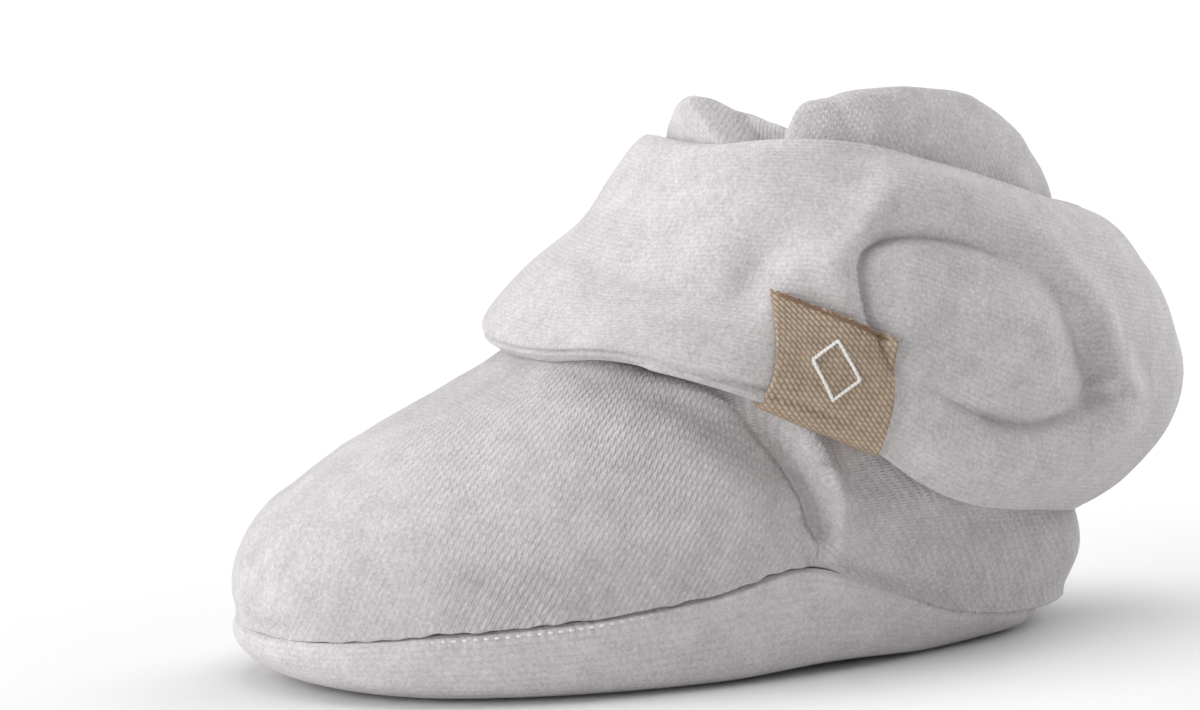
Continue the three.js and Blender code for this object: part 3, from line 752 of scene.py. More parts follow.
@dataclass
class WrapPiece(RingShell):
    """The wide ankle wrap: a padded band that bulges behind the heel, with a pressed-in oval on its outer side."""

    last: Last = field(default_factory=Last)
    wall: float = 3.2
    outer_rows: int = 160
    inner_rows: int = 36
    hem_height: float = 1.9
    groove_depth: float = 2.1
    hem_tuck: float = 0.9
    groove: Table = field(default_factory=lambda: Table(
        "station height depth",
        (66.5, 35.5, 0.25), (64.7, 40.2, 0.6), (64.0, 44.0, 0.9), (64.0, 47.6, 1.0), (66.2, 49.8, 1.0),
        (70.5, 50.6, 0.95), (76.3, 50.0, 0.95), (82.6, 48.0, 0.95), (89.8, 44.0, 0.9), (95.4, 39.0, 0.85),
        (99.0, 33.4, 0.85), (98.9, 29.8, 0.95), (95.0, 27.6, 1.0), (88.4, 27.1, 1.0), (82.4, 28.3, 0.9),
        (77.0, 30.4, 0.6), (72.5, 32.8, 0.25)))

    def groove_line(self) -> tuple[Array, Array, Array]:
        """The crease's stations, heights and depths at 240 even places of its table."""
        place = np.linspace(0, self.groove.last, 240)
        return tuple(self.groove.at(name, place) for name in ("station", "height", "depth"))

    def relief(self, points: Array) -> Array:
        """Height of the folds above the plain surface.

        The crease is a narrow bell of the distance to its line. Inside it the cloth sinks towards the heel and rises
        towards the tab, and outside it a broad roll stands up.
        """
        station, side, height = self.last.station(points), points[..., 1], points[..., 2]
        line_station, line_height, line_depth = self.groove_line()
        flat = np.stack([station, height], axis=-1).reshape(-1, 2)
        line = np.stack([line_station, line_height], axis=-1)
        outer_side = side.reshape(-1) > 4
        distance, depth, inside = np.full(len(flat), 99.0), np.zeros(len(flat)), np.zeros(len(flat))
        near = flat[outer_side]
        gaps = np.linalg.norm(near[:, None] - line[None], axis=-1)
        nearest = gaps.argmin(axis=1)
        distance[outer_side] = gaps.min(axis=1)
        depth[outer_side] = line_depth[nearest]
        ahead = np.roll(line, -1, axis=0)[None] - near[:, None]
        here = line[None] - near[:, None]
        turned = np.arctan2(here[..., 0] * ahead[..., 1] - here[..., 1] * ahead[..., 0], (here * ahead).sum(axis=-1))
        inside[outer_side] = np.abs(turned.sum(axis=1)) > np.pi
        distance, depth, inside = (a.reshape(station.shape) for a in (distance, depth, inside))
        crisp = 1 - 0.75 * bell(station - 86, 6) * bell(height - 44, 6)
        at_front = soften((70 - station) / 6)
        at_rear = soften((station - 88) / 6) * soften((height - 29) / 3)
        crease = -self.groove_depth * depth * (1 - 0.85 * at_rear) * (
            0.55 * crisp * (1 - 0.2 * at_front) * bell(distance, 0.8)
            + 0.45 * (1 - 0.8 * at_front) * bell(distance, 2.3))
        well = soften(distance / 1.3) * inside
        fall = np.clip((station - 85) / 13, 0, 1.15) ** 2
        across = 0.75 * (station - 85) + 0.66 * (height - 38.5)
        along = 0.66 * (station - 85) - 0.75 * (height - 38.5)
        pillow = 1.1 * bell(across, 4.4) * bell(along, 8) + 1.0 * bell(station - 69.5, 3.6) * bell(height - 43, 7)
        dome = well * (pillow - 0.9 * bell(station - 76, 3.0) * bell(height - 40, 6)
                       - 3.8 * fall * bell(height - 37, 10)
                       - 0.8 * bell(station - 81, 8) * bell(height - 45.5, 3))
        calm_top = 1 - 0.55 * soften((station - 76) / 8) * soften((height - 32) / 4)
        nearer = 3.2 * np.maximum(at_front, at_rear)
        roll = (1 - inside) * depth * 1.4 * bell(distance - 4.4 + nearer, 3.2) * np.maximum(calm_top, at_rear)
        outward_face = soften(side / 9)
        bump = 1.5 * bell(station - 60.0, 3.2) * bell(height - 47.5, 2.6)
        hollow = -1.5 * bell((station - 52.5) - 0.5 * (height - 46.0), 2.6) * bell(height - 46.5, 4.2)
        dip = -1.4 * bell(station - 45, 7.0) * bell(height - 45.6 + 0.25 * (station - 45), 2.2)
        fold = 0.8 * bell((height - 39.0) + 0.3 * (station - 46), 2.3) * bell(station - 44, 8)
        lean_back = -1.2 * bell(height - 50.5, 4.5) * soften((54 - station) / 8)
        rear = soften((station - 98) / 14)
        heel = rear * (1.2 * bell(height - 47.5, 5.0) - 1.0 * bell(height - 32.5, 5.5))
        soft = 0.35 * swell(points, 21.0, 11) + 0.14 * swell(points, 8.0, 12)
        return crease + dome + roll + (bump + hollow + dip + fold) * outward_face + lean_back + heel + soft

    def hem(self, climb: Array, station: Array) -> Array:
        """The stitched hem: a fine trough a little above the lower edge, and a slight roll under it."""
        shown = soften((66 - station) / 8)
        return -0.42 * shown * bell(climb - self.hem_height, 0.32) + 0.2 * shown * bell(climb - 0.8, 0.8)

    def outside(self, place: Array, turn: Array) -> Array:
        """The outer surface with its folds, moved along the plain surface's outward direction."""
        plain = self.last.wrap(place, turn)
        normal = outward(self.last.wrap, place, turn, self.last.wrap_rings.last)
        edges = soften(np.minimum(place, self.last.wrap_rings.last - place) / 0.7)
        climb = place * 3.1
        ahead = soften((58 - self.last.station(plain)) / 12)
        tuck = -self.hem_tuck * ahead * np.clip(1 - climb / 3.4, 0, 1) ** 2
        from_top = np.clip((self.last.wrap_rings.last - place) / 0.9, 0, 1)
        tuck = tuck - 0.8 * (1 - from_top) ** 2 * soften((60 - self.last.station(plain)) / 8)
        moved = self.relief(plain) * (0.25 + 0.75 * edges) + self.hem(climb, self.last.station(plain)) + tuck
        return plain + normal * moved[..., None]

    def make(self, finish: bpy.types.Material) -> bpy.types.Object:
        """Builds the band and dresses it."""
        turn = self.turns()
        last = self.last.wrap_rings.last
        place = last * np.linspace(0, 1, self.outer_rows)[:, None] ** 1.12
        outer = self.outside(place, turn)
        few = np.linspace(0, last, self.inner_rows)[:, None]
        plain = self.last.wrap(few, turn)
        normal = outward(self.last.wrap, few, turn, last)
        inner = self.clear_of_upper(plain - normal * self.wall)
        points = self.stack(outer, inner, 0 * turn[..., None] + 0.35, 0 * turn[..., None] + 0.5)
        rows = len(points)
        faces = self.maker.grid_faces(rows, self.columns, True, True)
        piece = self.maker.build("wrap_cuff", points, faces, ring_uv(points, faces, rows, self.columns),
                                 "wrap_jersey", ("ankle_wrap",), {"knit_depth": 0.85 + 0.3 * swell(points, 15.0, 32)})
        piece.data.materials.append(finish)
        return piece

    def clear_of_upper(self, inner: Array) -> Array:
        """The inner face moved out to where it clears the upper by the gap.

        The upper's ring at each point's own height is found by halving, and a point nearer the ring's middle than
        the ring plus the gap is put on it.
        """
        centre = np.array([self.last.toe_x - 74.0, 0.0])
        away = inner[..., :2] - centre
        turn = np.arctan2(away[..., 1], away[..., 0])
        place = place_at_height(self.last.upper, self.last.upper_rings.last, turn, inner[..., 2])
        ring = self.last.upper(place, turn)[..., :2] - centre
        ring_reach = np.linalg.norm(ring, axis=-1) + self.last.gap + 0.5
        ring_turn = np.arctan2(ring[..., 1], ring[..., 0])
        order = np.argsort(ring_turn, axis=-1)
        sorted_turn = np.take_along_axis(ring_turn, order, -1)
        sorted_reach = np.take_along_axis(ring_reach, order, -1)
        wanted = np.stack([np.interp(t, a, r, period=2 * np.pi)
                           for t, a, r in zip(turn, sorted_turn, sorted_reach)])
        reach = np.maximum(np.linalg.norm(away, axis=-1), np.where(inner[..., 2] < 58, wanted, 0))
        moved = centre + unit(away) * reach[..., None]
        return np.concatenate([moved, inner[..., 2:]], axis=-1)


@dataclass
class SolePiece:
    """The padded sole: a dish whose wall rolls over into the seam, with fine folds behind the notch."""

    maker: MeshMaker
    last: Last = field(default_factory=Last)
    columns: int = 520
    side_rows: int = 70
    wall: float = 2.6
    thickness: float = 2.4

    def relief(self, points: Array, share: Array) -> Array:
        """Height of the folds: a roll under the seam, short gathers under the toe's stitches, and fine folds aft."""
        station, side = self.last.station(points), points[..., 1]
        below = self.last.seam_at(station) - points[..., 2]
        firm = soften((64 - station) / 5)
        tuck = 0.3 * (1 - firm) * bell(below - 0.9, 0.9) - 0.6 * firm * bell(below, 0.3)
        tip = firm * (0.35 + 0.45 * soften((14 - station) / 12)) * bell(below, 1.4)
        roll = 0.25 * firm * bell(below - 2.0, 1.3)
        heel = -3.3 * soften((station - 94) / 9) * share
        soft = 0.16 * swell(points, 15.0, 23) * soften(share * 4)
        return tuck + tip + roll + heel + soft

    def make(self, finish: bpy.types.Material) -> bpy.types.Object:
        """Builds the dish: ribs under it, its side, its rim, its inner wall and its inner floor."""
        turn = np.linspace(0, 2 * np.pi, self.columns, endpoint=False)[None, :]
        rings = self.last.sole_rings
        length = self.last.sole_length
        middle = self.last.upper_rings.columns["middle"][0]

        def side_point(place: Array) -> Array:
            ends = [rings.at(name, place) * length for name in ("front", "rear")]
            station, side, _ = self.last.plan(*ends, rings.at("half", place) * self.last.half, middle, turn)
            share = rings.at("height", place)
            height = share * self.last.seam_at(station) + self.last.lift(station) * (1 - share)
            return self.last.point(station, side, height)

        place = np.linspace(0, rings.last, self.side_rows)[:, None]
        outer = side_point(place)
        edge = np.roll(outer, -1, axis=1) - np.roll(outer, 1, axis=1)
        up_it = np.gradient(outer, axis=0)
        normal = unit(np.cross(edge, up_it))
        share = rings.at("height", place) + 0 * turn
        outer = outer + normal * self.relief(outer, share)[..., None]
        outer[..., 2] = np.maximum(outer[..., 2], 0)
        ribs = np.linspace(0.0, 1, 14)[:-1, None]
        base = outer[0]
        under = np.stack([base[None, :, 0] + 0 * ribs, base[None, :, 1] * ribs, base[None, :, 2] + 0 * ribs], axis=-1)
        inner = self.inside(turn, self.wall)
        inner_top = inner(self.last.seam_at)
        floor = inner(lambda s: np.minimum(self.thickness, self.last.seam_at(s) - self.last.gap))
        drop = np.linspace(0, 1, 8)[:, None, None]
        wall = inner_top + (floor - inner_top) * drop
        spread = ribs[::-1]
        bed = np.stack([floor[..., 0] + 0 * spread, floor[..., 1] * spread, floor[..., 2] + 0 * spread], axis=-1)
        rim = (outer[-1:] + inner_top) / 2 + np.array([0, 0, 0.0])
        points = np.concatenate([under, outer, rim, wall, bed])
        rows = len(points)
        faces = self.maker.grid_faces(rows, self.columns, False, True)
        uv = ring_uv(points, faces, rows, self.columns)[..., ::1]
        station = self.last.station(points)
        below = self.last.seam_at(station) - points[..., 2]
        aft = soften((station - 58) / 5) * soften((101 - station) / 8) * bell(below - 1.5, 3.6)
        fore = 0.7 * soften((station - 8) / 8) * soften((56 - station) / 10) * bell(below - 0.8, 1.1)
        masks = {"gather": np.clip(aft + fore, 0, 1), "pleat_along": station + 0.9 * below * (station > 57),
                 "pleat_across": below, "knit_depth": 0.8 + 0.4 * swell(points, 14.0, 33)}
        piece = self.maker.build("sole_body", points, faces, uv, "sole_jersey", ("sole",), masks, weld=True)
        piece.data.materials.append(finish)
        return piece

    def inside(self, turn: Array, inset: float) -> Callable[[Callable[[Array], Array]], Array]:
        """The seam outline taken in by a wall, as a function of a height that follows the station."""
        front, rear, half, middle = (self.last.upper_rings.columns[name][0] for name in ("front", "rear", "half", "middle"))
        length = self.last.sole_length

        def at(height: Callable[[Array], Array]) -> Array:
            station, side, _ = self.last.plan(front * length + inset, rear * length - inset,
                                              half * self.last.half - inset, middle, turn)
            return self.last.point(station, side, height(station))

        return at


@dataclass
class InsolePiece:
    """The sole's inner lining: a thin, slightly crowned pad."""

    sole: SolePiece
    thickness: float = 1.4
    columns: int = 240

    def make(self, finish: bpy.types.Material) -> bpy.types.Object:
        """Builds the pad: ribs under it, a rounded edge and a crowned top."""
        last = self.sole.last
        turn = np.linspace(0, 2 * np.pi, self.columns, endpoint=False)[None, :]
        base = self.sole.thickness + last.gap
        ribs = np.linspace(0, 1, 14)[:, None]
        edge = np.linspace(0, np.pi, 9)[:, None]

        def ring(inset: float, height: float) -> Array:
            return self.sole.inside(turn, inset)(lambda s: 0 * s + height)

        low = ring(self.sole.wall + last.gap + 0.5, base)
        under = np.stack([low[..., 0] + 0 * ribs, low[..., 1] * ribs, low[..., 2] + 0 * ribs], axis=-1)
        sides = np.concatenate([ring(self.sole.wall + last.gap + 0.5 - 0.5 * float(np.sin(a)),
                                     base + self.thickness * (1 - float(np.cos(a))) / 2) for a in edge[1:-1, 0]])
        top = ring(self.sole.wall + last.gap + 0.5, base + self.thickness)
        over = np.stack([top[..., 0] + 0 * ribs, top[..., 1] * ribs, top[..., 2] + 0 * ribs], axis=-1)[::-1]
        points = np.concatenate([under, sides, over])
        rows = len(points)
        faces = self.sole.maker.grid_faces(rows, self.columns, False, True)
        piece = self.sole.maker.build("insole_lining", points, faces, ring_uv(points, faces, rows, self.columns),
                                      "lining_jersey", ("insole",), {"knit_depth": np.ones(points.shape[:2])},
                                      weld=True)
        piece.data.materials.append(finish)
        return piece


@dataclass
class StrapPiece:
    """The inner strap: a band on the collar that stands up in a pinched point at the front."""

    maker: MeshMaker
    last: Last = field(default_factory=Last)
    wall: float = 1.8
    columns: int = 220
    rows: int = 40

    def make(self, finish: bpy.types.Material) -> bpy.types.Object:
        """Builds the band.

        Its face lies off the collar's ring at each height. A fold runs down from the point: ahead of it the face is
        pushed out by e to the power of the angle, behind it the face falls away by a straight slope. The section is
        closed by half ellipses at both edges.
        """
        degrees = np.linspace(60, -84, self.columns)[:, None]
        turn = np.radians(degrees)
        low, high = (self.last.collar_height * self.last.strap.along("turn", name, degrees) for name in ("low", "high"))
        level = np.linspace(0, 1, self.rows)[None, :]
        height = low + (high - low) * level
        turn = turn + 0 * height
        place = place_at_height(self.last.upper, self.last.upper_rings.last, turn, height)
        here = self.last.upper(place, turn)
        across = unit((self.last.upper(place, turn + 0.02) - here) * np.array([1, 1, 0]))
        out = np.stack([across[..., 1], -across[..., 0], 0 * height], axis=-1)
        past_fold = degrees - (11.5 + (63.6 - height) * 3.2)
        slope = np.where(past_fold < 0, 1.9 * np.exp(past_fold / 30), np.maximum(1.9 - 0.42 * past_fold, -2.3))
        tent = np.maximum(slope, 0) * soften((height - 50) / 6) + np.minimum(slope, 0) * soften((height - 56) / 3)
        flat = np.concatenate([here[..., :2], height[..., None]], axis=-1)
        near = flat + out * (self.last.gap + self.wall + tent)[..., None]
        far = flat + out * (self.last.gap + 0.1 + np.maximum(tent, 0) * 0.8 + np.minimum(tent, 0))[..., None]
        bend = np.linspace(0, np.pi, 6)[1:-1][None, :, None]
        mid_top, mid_low = (near[:, -1:] + far[:, -1:]) / 2, (near[:, :1] + far[:, :1]) / 2
        top = mid_top + np.cos(bend) * (near[:, -1:] - far[:, -1:]) / 2 + np.sin(bend) * np.array([0, 0, 0.6])
        bottom = mid_low - np.cos(bend) * (near[:, :1] - far[:, :1]) / 2 - np.sin(bend) * np.array([0, 0, 0.6])
        points = np.concatenate([near, top, far[:, ::-1], bottom], axis=1)
        ends = points.mean(axis=1, keepdims=True)
        shrink = np.stack([ends[0] + (points[0] - ends[0]) * 0.0, ends[-1] + (points[-1] - ends[-1]) * 0.0])
        points = np.concatenate([shrink[:1], points, shrink[1:]])
        faces = self.maker.grid_faces(len(points), points.shape[1], False, True)
        level_turn = np.concatenate([degrees[:1], degrees, degrees[-1:]])
        uv = corner_values(np.stack([level_turn * 0.36 + 0 * points[..., 2], points[..., 2]], axis=-1), faces)
        piece = self.maker.build("strap_band", points, faces, uv, "strap_jersey", ("inner_strap",),
                                 {"knit_depth": np.ones(points.shape[:2])}, weld=True)
        piece.data.materials.append(finish)
        return piece


@dataclass
class TabPiece:
    """The woven tab on the wrap's outer side: a leaf that turns under the lower edge, with a thread outline on it."""

    maker: MeshMaker
    wrap: WrapPiece
    width: float = 14.2
    thickness: float = 0.75
    toe_top: tuple[float, float] = (53.9, 44.7)
    toe_foot: tuple[float, float] = (52.4, 33.2)
    heel_top: tuple[float, float] = (67.2, 38.9)
    heel_foot: tuple[float, float] = (66.2, 27.0)
    columns: int = 70
    rows: int = 60

    def turn_and_place(self, station: Array, height: Array) -> tuple[Array, Array]:
        """Turn and place at which the wrap's plain surface reaches a station at a height, by halving."""
        last = self.wrap.last
        front, rear = np.full_like(height, 0.2), np.full_like(height, np.pi - 0.2)
        for _ in range(26):
            turn = (front + rear) / 2
            place = place_at_height(last.wrap, last.wrap_rings.last, turn, height)
            before = last.station(last.wrap(place, turn)) < station
            front, rear = np.where(before, turn, front), np.where(before, rear, turn)
        turn = (front + rear) / 2
        return turn, place_at_height(last.wrap, last.wrap_rings.last, turn, height)

    def leaf(self, across: Array, share: Array) -> tuple[Array, Array]:
        """Points of the wrap's surface under the tab, and outward directions there.

        Args:
            across: from -0.5 at the heel side to 0.5 at the toe side.
            share: from 0 at the lower edge to 1 at the top edge; the corners are blended both ways.
        Returns:
            Points and directions.
        """
        toe, top = (across + 0.5)[..., None], share[..., None]
        corners = [np.array(c) for c in (self.heel_foot, self.toe_foot, self.heel_top, self.toe_top)]
        foot = corners[0] + (corners[1] - corners[0]) * toe
        head = corners[2] + (corners[3] - corners[2]) * toe
        flat = foot + (head - foot) * top
        dent = 0.5 * np.sin(np.pi * share) * soften(across * 2.5 - 0.25)
        station, height = flat[..., 0] + dent, flat[..., 1]
        turn, place = self.turn_and_place(station, height)
        return self.wrap.outside(place, turn), outward(self.wrap.last.wrap, place, turn, self.wrap.last.wrap_rings.last)

    def make(self, finish: bpy.types.Material) -> bpy.types.Object:
        """Builds the leaf, its turned lower edge and its raw top edge, as one closed strip."""
        across = np.linspace(-0.5, 0.5, self.columns)[:, None] + 0 * np.linspace(0, 1, self.rows)[None, :]
        share = np.linspace(0, 1, self.rows)[None, :] + 0 * across
        base, normal = self.leaf(across, share)
        curl = 0.5 * soften((share - 0.86) / 0.14) * (0.4 + 0.6 * soften(np.abs(across) * 4 - 1))
        wave = 0.12 * np.sin(across * 9 + 1) * share
        lift = self.wrap.last.gap + 0.1 + curl + wave
        rise = unit(base[:, 1:2] - base[:, :1])
        steps = np.linspace(0, 1, 9)[1:, None][None]
        fall = base[:, :1] - rise * (1.3 * np.sin(steps * np.pi / 2)) - normal[:, :1] * (2.4 * (1 - np.cos(steps * np.pi / 2)))
        under_normal = unit(normal[:, :1] * np.cos(steps * np.pi / 2) - rise * np.sin(steps * np.pi / 2))
        base = np.concatenate([fall[:, ::-1], base], axis=1)
        normal = np.concatenate([under_normal[:, ::-1], normal], axis=1)
        lift = np.concatenate([np.repeat(lift[:, :1], 8, axis=1), lift], axis=1)
        fray = 0.1 * np.sin(across[:, :1] * 130) + 0.08 * np.sin(across[:, :1] * 61 + 2)
        base[:, -1] += rise[:, 0] * fray
        near = base + normal * (lift + self.thickness)[..., None]
        far = base + normal * (lift - 0.05)[..., None]
        middle = (near + far) / 2
        loop = np.concatenate([near, middle[:, -1:] + rise * 0.22, far[:, ::-1], middle[:, :1]], axis=1)
        flat_end = self.flattened(loop, middle)
        points = np.concatenate([flat_end[:1], loop, flat_end[-1:]])
        rows = len(points)
        faces = self.maker.grid_faces(rows, points.shape[1], False, True)
        along = arc_lengths(near, 1).mean(axis=0)
        count = points.shape[1]
        u_line = np.concatenate([along, [along[-1]], along[::-1], [0.0]])[None, :] + np.zeros((rows, 1))
        v_line = np.concatenate([[0.0], self.width * (across[:, 0] + 0.5), [self.width]])[:, None] + np.zeros((1, count))
        uv = corner_values(np.stack([u_line, v_line], axis=-1), faces)
        piece = self.maker.build("tab_leaf", points, faces, uv, "tab_weave", ("woven_tab",), weld=True)
        piece.data.materials.append(finish)
        return piece

    def fray(self, stitching: "Stitching", finish: bpy.types.Material) -> bpy.types.Object:
        """The raw top edge: short dark thread ends that lean along it, one capsule each."""
        across = np.linspace(-0.49, 0.49, 160)[:, None]
        base, normal = self.leaf(across, 0 * across + 0.985)
        path = (base + normal * (self.wrap.last.gap + 0.45 + self.thickness))[:, 0]
        return stitching.row("tab_fray", path, normal[:, 0], 0.36, 0.95, "tab_weave", 0.12, finish, 35.0)

    def flattened(self, loop: Array, middle: Array) -> Array:
        """Each section closed on its own middle line, for the strip's two ends."""
        line = np.concatenate([middle, middle[:, -1:], middle[:, ::-1], middle[:, :1]], axis=1)
        return loop * 0 + line

    def motif(self, finish: bpy.types.Material) -> bpy.types.Object:
        """A plain lozenge outline in thread: a round tube carried along the path, with the twist as small beads."""
        corners = np.array([[0.0, 0.27], [0.2, 0.0], [0.0, -0.27], [-0.2, 0.0], [0.0, 0.27]])
        t = np.linspace(0, 4, 241)[:-1]
        i = t.astype(int)
        path = corners[i] + (corners[i + 1] - corners[i]) * (t - i)[:, None]
        base, normal = self.leaf(path[:, 0][:, None], (path[:, 1] + 0.5)[:, None])
        base, normal = base[:, 0], normal[:, 0]
        centre = base + normal * (self.wrap.last.gap + 0.1 + self.thickness + 0.16)
        tangent = unit(np.roll(centre, -1, 0) - np.roll(centre, 1, 0))
        side = unit(np.cross(normal, tangent))
        angle = np.linspace(0, 2 * np.pi, 8, endpoint=False)[None, :, None]
        radius = 0.2 * (1 + 0.18 * np.sin(np.arange(len(t)) * 0.9))[:, None, None]
        points = centre[:, None] + radius * (np.cos(angle) * side[:, None] + np.sin(angle) * normal[:, None])
        faces = self.maker.grid_faces(len(points), 8, True, True)[:, ::-1]
        uv = corner_values(points[..., :2], faces)
        piece = self.maker.build("tab_thread", points, faces, uv, "tab_weave", (), {})
        piece.data.materials.append(finish)
        return piece


@dataclass
class Stitching:
    """Rows of short thread stitches: one capsule shape repeated along a path."""

    maker: MeshMaker
    radius: float = 0.17
    around: int = 6
    steps: int = 6

    def row(self, name: str, path: Array, normal: Array, pitch: float, length: float, slot: str, sink: Array,
            finish: bpy.types.Material, lean: float = 0.0) -> bpy.types.Object:
        """Makes a row of stitches.

        Each capsule is a circle carried along a short line, its radius a half ellipse of the way along it.

        Args:
            name: the piece's name.
            path: points on the cloth, in order.
            normal: outward directions at those points.
            pitch: distance from stitch to stitch.
            length: length of a stitch.
            slot: the record's slot.
            sink: how far a stitch lies in the cloth, one number or one for each point of the path.
            finish: its material.
            lean: how far each stitch turns from the path, in degrees, give or take half.
        Returns:
            The object.
        """
        run = arc_lengths(path[None], 1)[0]
        centres = np.arange(pitch, run[-1] - pitch, pitch)
        spot, out, ahead = (np.stack([np.interp(centres + shift, run, data[:, k]) for k in range(3)], axis=-1)
                            for data, shift in ((path, 0), (normal, 0), (path, 0.3)))
        out = unit(out)
        along = unit(ahead - spot)
        side = unit(np.cross(out, along))
        deep = np.interp(centres, run, np.broadcast_to(sink, run.shape))[:, None]
        uneven = np.random.default_rng(9).uniform(0.5, 1.5, (len(centres), 1))
        along = unit(along * np.cos(np.radians(lean * uneven)) + side * np.sin(np.radians(lean * uneven)))
        side = unit(np.cross(out, along))
        a = np.linspace(0, 2 * np.pi, self.around, endpoint=False)[None, :]
        s = np.linspace(-1, 1, self.steps + 1)[:, None]
        radius = self.radius * np.sqrt(np.maximum(1 - (np.abs(s) ** 3), 0.0))
        shape = np.stack([s * length / 2 + 0 * a, radius * np.cos(a), radius * np.sin(a) * 0.8 - 0.25 * self.radius * s ** 2], -1)
        basis = np.stack([along, side, out], axis=1)
        points = np.einsum("rak,nkc->nrac", shape, basis) + (spot - out * deep)[:, None, None]
        one = self.maker.grid_faces(self.steps + 1, self.around, False, True)[:, ::-1]
        count = (self.steps + 1) * self.around
        faces = (one[None] + np.arange(len(centres))[:, None, None] * count).reshape(-1, 4)
        flat = points.reshape(-1, 3)
        piece = self.maker.build(name, flat, faces, flat[faces][..., :2], slot, (), {}, weld=True)
        piece.data.materials.append(finish)
        return piece


@dataclass
class Studio:
    """A pale floor, soft lights and the camera at the photo's angle."""

    last: Last
    yaw: float = 27.0
    elevation: float = 9.0
    distance: float = 800.0
    pixels_per_mm: float = 8.6
    look_station: float = 52.5
    look_pixel: tuple[float, float] = (664.0, 647.0)
    frame_size: tuple[float, float] = (1200.0, 710.0)
    softness: float = 50.0
    lights: dict[str, tuple[tuple[float, float, float], float]] = field(default_factory=lambda: {
        "toe_light": ((1.0, 0.08, 0.2), 0.79),
        "top_light": ((0.0, 0.0, 1.0), 0.4),
        "back_left_light": ((0.8, -0.6, 0.6), 0.36),
        "back_right_light": ((-1.0, -0.6, 0.15), 0.46),
        "front_light": ((0.0, 1.0, 0.27), 0.09),
        "heel_light": ((-1.0, 0.1, 1.0), 0.38),
    })

    def camera(self) -> None:
        """Places the camera: back along the view, then sideways and up so the look point falls on its pixel."""
        yaw, tilt = np.radians(self.yaw), np.radians(self.elevation)
        back = np.array([np.sin(yaw) * np.cos(tilt), np.cos(yaw) * np.cos(tilt), np.sin(tilt)])
        right = np.array([-np.cos(yaw), np.sin(yaw), 0.0])
        up = np.cross(back, right)
        look = np.array([self.last.toe_x - self.look_station, 0, 0])
        dx = (self.look_pixel[0] - self.frame_size[0] / 2) / self.pixels_per_mm
        dy = (self.look_pixel[1] - self.frame_size[1] / 2) / self.pixels_per_mm
        eye = look + back * self.distance - right * dx + up * dy
        data = bpy.data.cameras.new("photo_camera")
        data.sensor_width = 36.0
        data.lens = 36.0 * self.pixels_per_mm * self.distance / self.frame_size[0]
        data.clip_start, data.clip_end = 0.05, 50.0
        camera = bpy.data.objects.new("photo_camera", data)
        turned = Matrix((right, up, back)).transposed().to_4x4()
        camera.matrix_world = Matrix.Translation(Vector(eye * MM)) @ turned
        bpy.context.collection.objects.link(camera)
        bpy.context.scene.camera = camera

    def lamp(self, name: str, way: tuple[float, float, float], power: float) -> None:
        """One broad, far light.

        Args:
            name: the light's name.
            way: the direction that it comes from.
            power: the radiance of a white card that faces it.
        """
        data = bpy.data.lights.new(name, "SUN")
        data.angle, data.energy = np.radians(self.softness), power * np.pi
        lamp = bpy.data.objects.new(name, data)
        lamp.rotation_mode = "QUATERNION"
        lamp.rotation_quaternion = Vector(way).to_track_quat("Z", "Y")
        bpy.context.collection.objects.link(lamp)

    def floor(self) -> None:
        """A wide pale disc under the shoe, painted darker near the shoe as shade and white further out."""
        turn = np.linspace(0, 2 * np.pi, 64, endpoint=False)[None, :]
        reach = np.array([0.0, 0.4, 1.5, 6.0])[:, None]
        points = np.stack([reach * np.cos(turn), reach * np.sin(turn), 0 * reach * turn - 0.0001], -1)
        mesh = bpy.data.meshes.new("floor")
        faces = MeshMaker().grid_faces(4, 64, False, True)[:, ::-1]
        mesh.from_pydata(points.reshape(-1, 3), [], faces.tolist())
        floor = bpy.data.objects.new("floor", mesh)
        bpy.context.collection.objects.link(floor)
        n = Nodes("floor_paper")
        away = n.add("VectorMath", operation="LENGTH")
        n.feed(away.inputs[0], n.add("TexCoord").outputs["Object"])
        # Painted shade: the floor's colour is darker within about 7 cm of the shoe and fades to white by 30 cm.
        far = n.span(away.outputs["Value"], 0.07, 0.3)
        n.feed(n.shader.inputs["Base Color"], n.mix(far, (0.86, 0.86, 0.86, 1), (1.0, 1.0, 1.0, 1)))
        n.shader.inputs["Roughness"].default_value = 0.9
        n.shader.inputs["Specular IOR Level"].default_value = 0.1
        mesh.materials.append(n.material)

    def world(self) -> None:
        """Dim even surroundings; the lamps do the lighting."""
        world = bpy.data.worlds.new("studio")
        world.use_nodes = True
        back = world.node_tree.nodes["Background"]
        back.inputs[0].default_value = (1, 1, 1, 1)
        back.inputs[1].default_value = 0.02
        bpy.context.scene.world = world

    def make(self) -> None:
        """Builds all of it."""
        self.camera()
        self.world()
        self.floor()
        for name, (way, power) in self.lights.items():
            self.lamp(name, way, power)
        view = bpy.context.scene.view_settings
        view.view_transform = "Standard"
        view.look = "None"


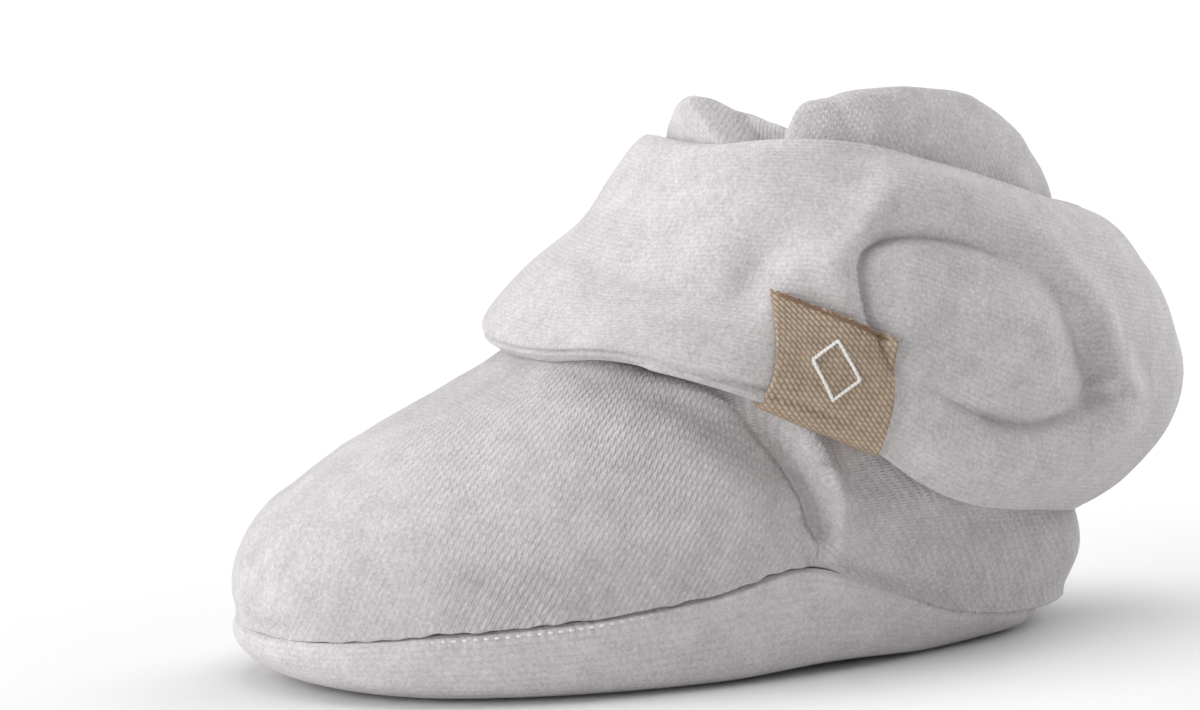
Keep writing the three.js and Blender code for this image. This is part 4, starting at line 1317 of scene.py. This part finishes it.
@dataclass
class Bootie:
    """The whole shoe, built piece by piece."""

    last: Last = field(default_factory=Last)
    maker: MeshMaker = field(default_factory=MeshMaker)

    def seam_path(self, low: float, high: float, side: int, drop: float) -> tuple[Array, Array]:
        """Points a little under the sole seam between two stations on one side, and outward directions there."""
        turn = np.linspace(0.02, np.pi - 0.02, 900) * side
        station, across, _ = self.last.plan(0.004 * 105, 0.993 * 105, 0.994 * self.last.half, 0.42, turn)
        height = self.last.seam_at(station) - drop
        points = self.last.point(station, across, height)
        tangent = np.gradient(points, axis=0)
        out = unit(np.cross(tangent, np.array([0, 0, 1.0]))) * side
        keep = (station > low) & (station < high)
        return points[keep], out[keep]

    def make(self) -> None:
        """Builds every piece and reports it."""
        jersey = JerseyFinish("jersey")
        body = jersey.make()
        cuff = JerseyFinish("cuff_cloth", wale=0.62, course=0.55, relief=0.055, dots=0.3, flecks=0.5, shadow=0.9).make()
        sole_cloth = JerseyFinish("sole_cloth", (222, 218, 219), (189, 185, 186), wale=0.75, relief=0.035, dots=0.15,
                                  flecks=0.6, shadow=0.92).make()
        lining = JerseyFinish("lining_cloth", light=(222, 218, 219), dark=(200, 196, 197)).make()
        thread = ThreadFinish("pale_thread", (246, 243, 244)).make()
        motif_thread = ThreadFinish("white_thread", (246, 245, 243)).make()
        sole = SolePiece(self.maker, self.last)
        wrap = WrapPiece(self.maker, last=self.last)
        tab = TabPiece(self.maker, wrap)
        made = [
            UpperPiece(self.maker, last=self.last).make(body),
            wrap.make(cuff),
            StrapPiece(self.maker, self.last).make(cuff),
            sole.make(sole_cloth),
            InsolePiece(sole).make(lining),
            tab.make(WeaveFinish().make()),
            tab.motif(motif_thread),
        ]
        stitching = Stitching(self.maker)
        made.append(tab.fray(stitching, ThreadFinish("brown_thread", (134, 108, 86)).make()))
        for name, side in (("outer", 1), ("inner", -1)):
            path, out = self.seam_path(6, 60, side, 0.6)
            path = path + out * sole.relief(path, np.full(len(path), 0.9))[:, None]
            sink = 0.28 - 0.42 * bell(self.last.station(path) - 24, 9)
            made.append(stitching.row(f"seam_stitches_{name}", path, out, 1.2, 0.7, "sole_jersey", sink, thread))
        for piece in made:
            LOG.info("made %s", piece.name)


def main() -> None:
    """Builds the studio and the shoe."""
    logging.basicConfig(level=logging.INFO, format="%(name)s: %(message)s")
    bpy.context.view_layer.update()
    last = Last()
    Studio(last).make()
    Bootie(last).make()


if __name__ == "__main__":
    main()
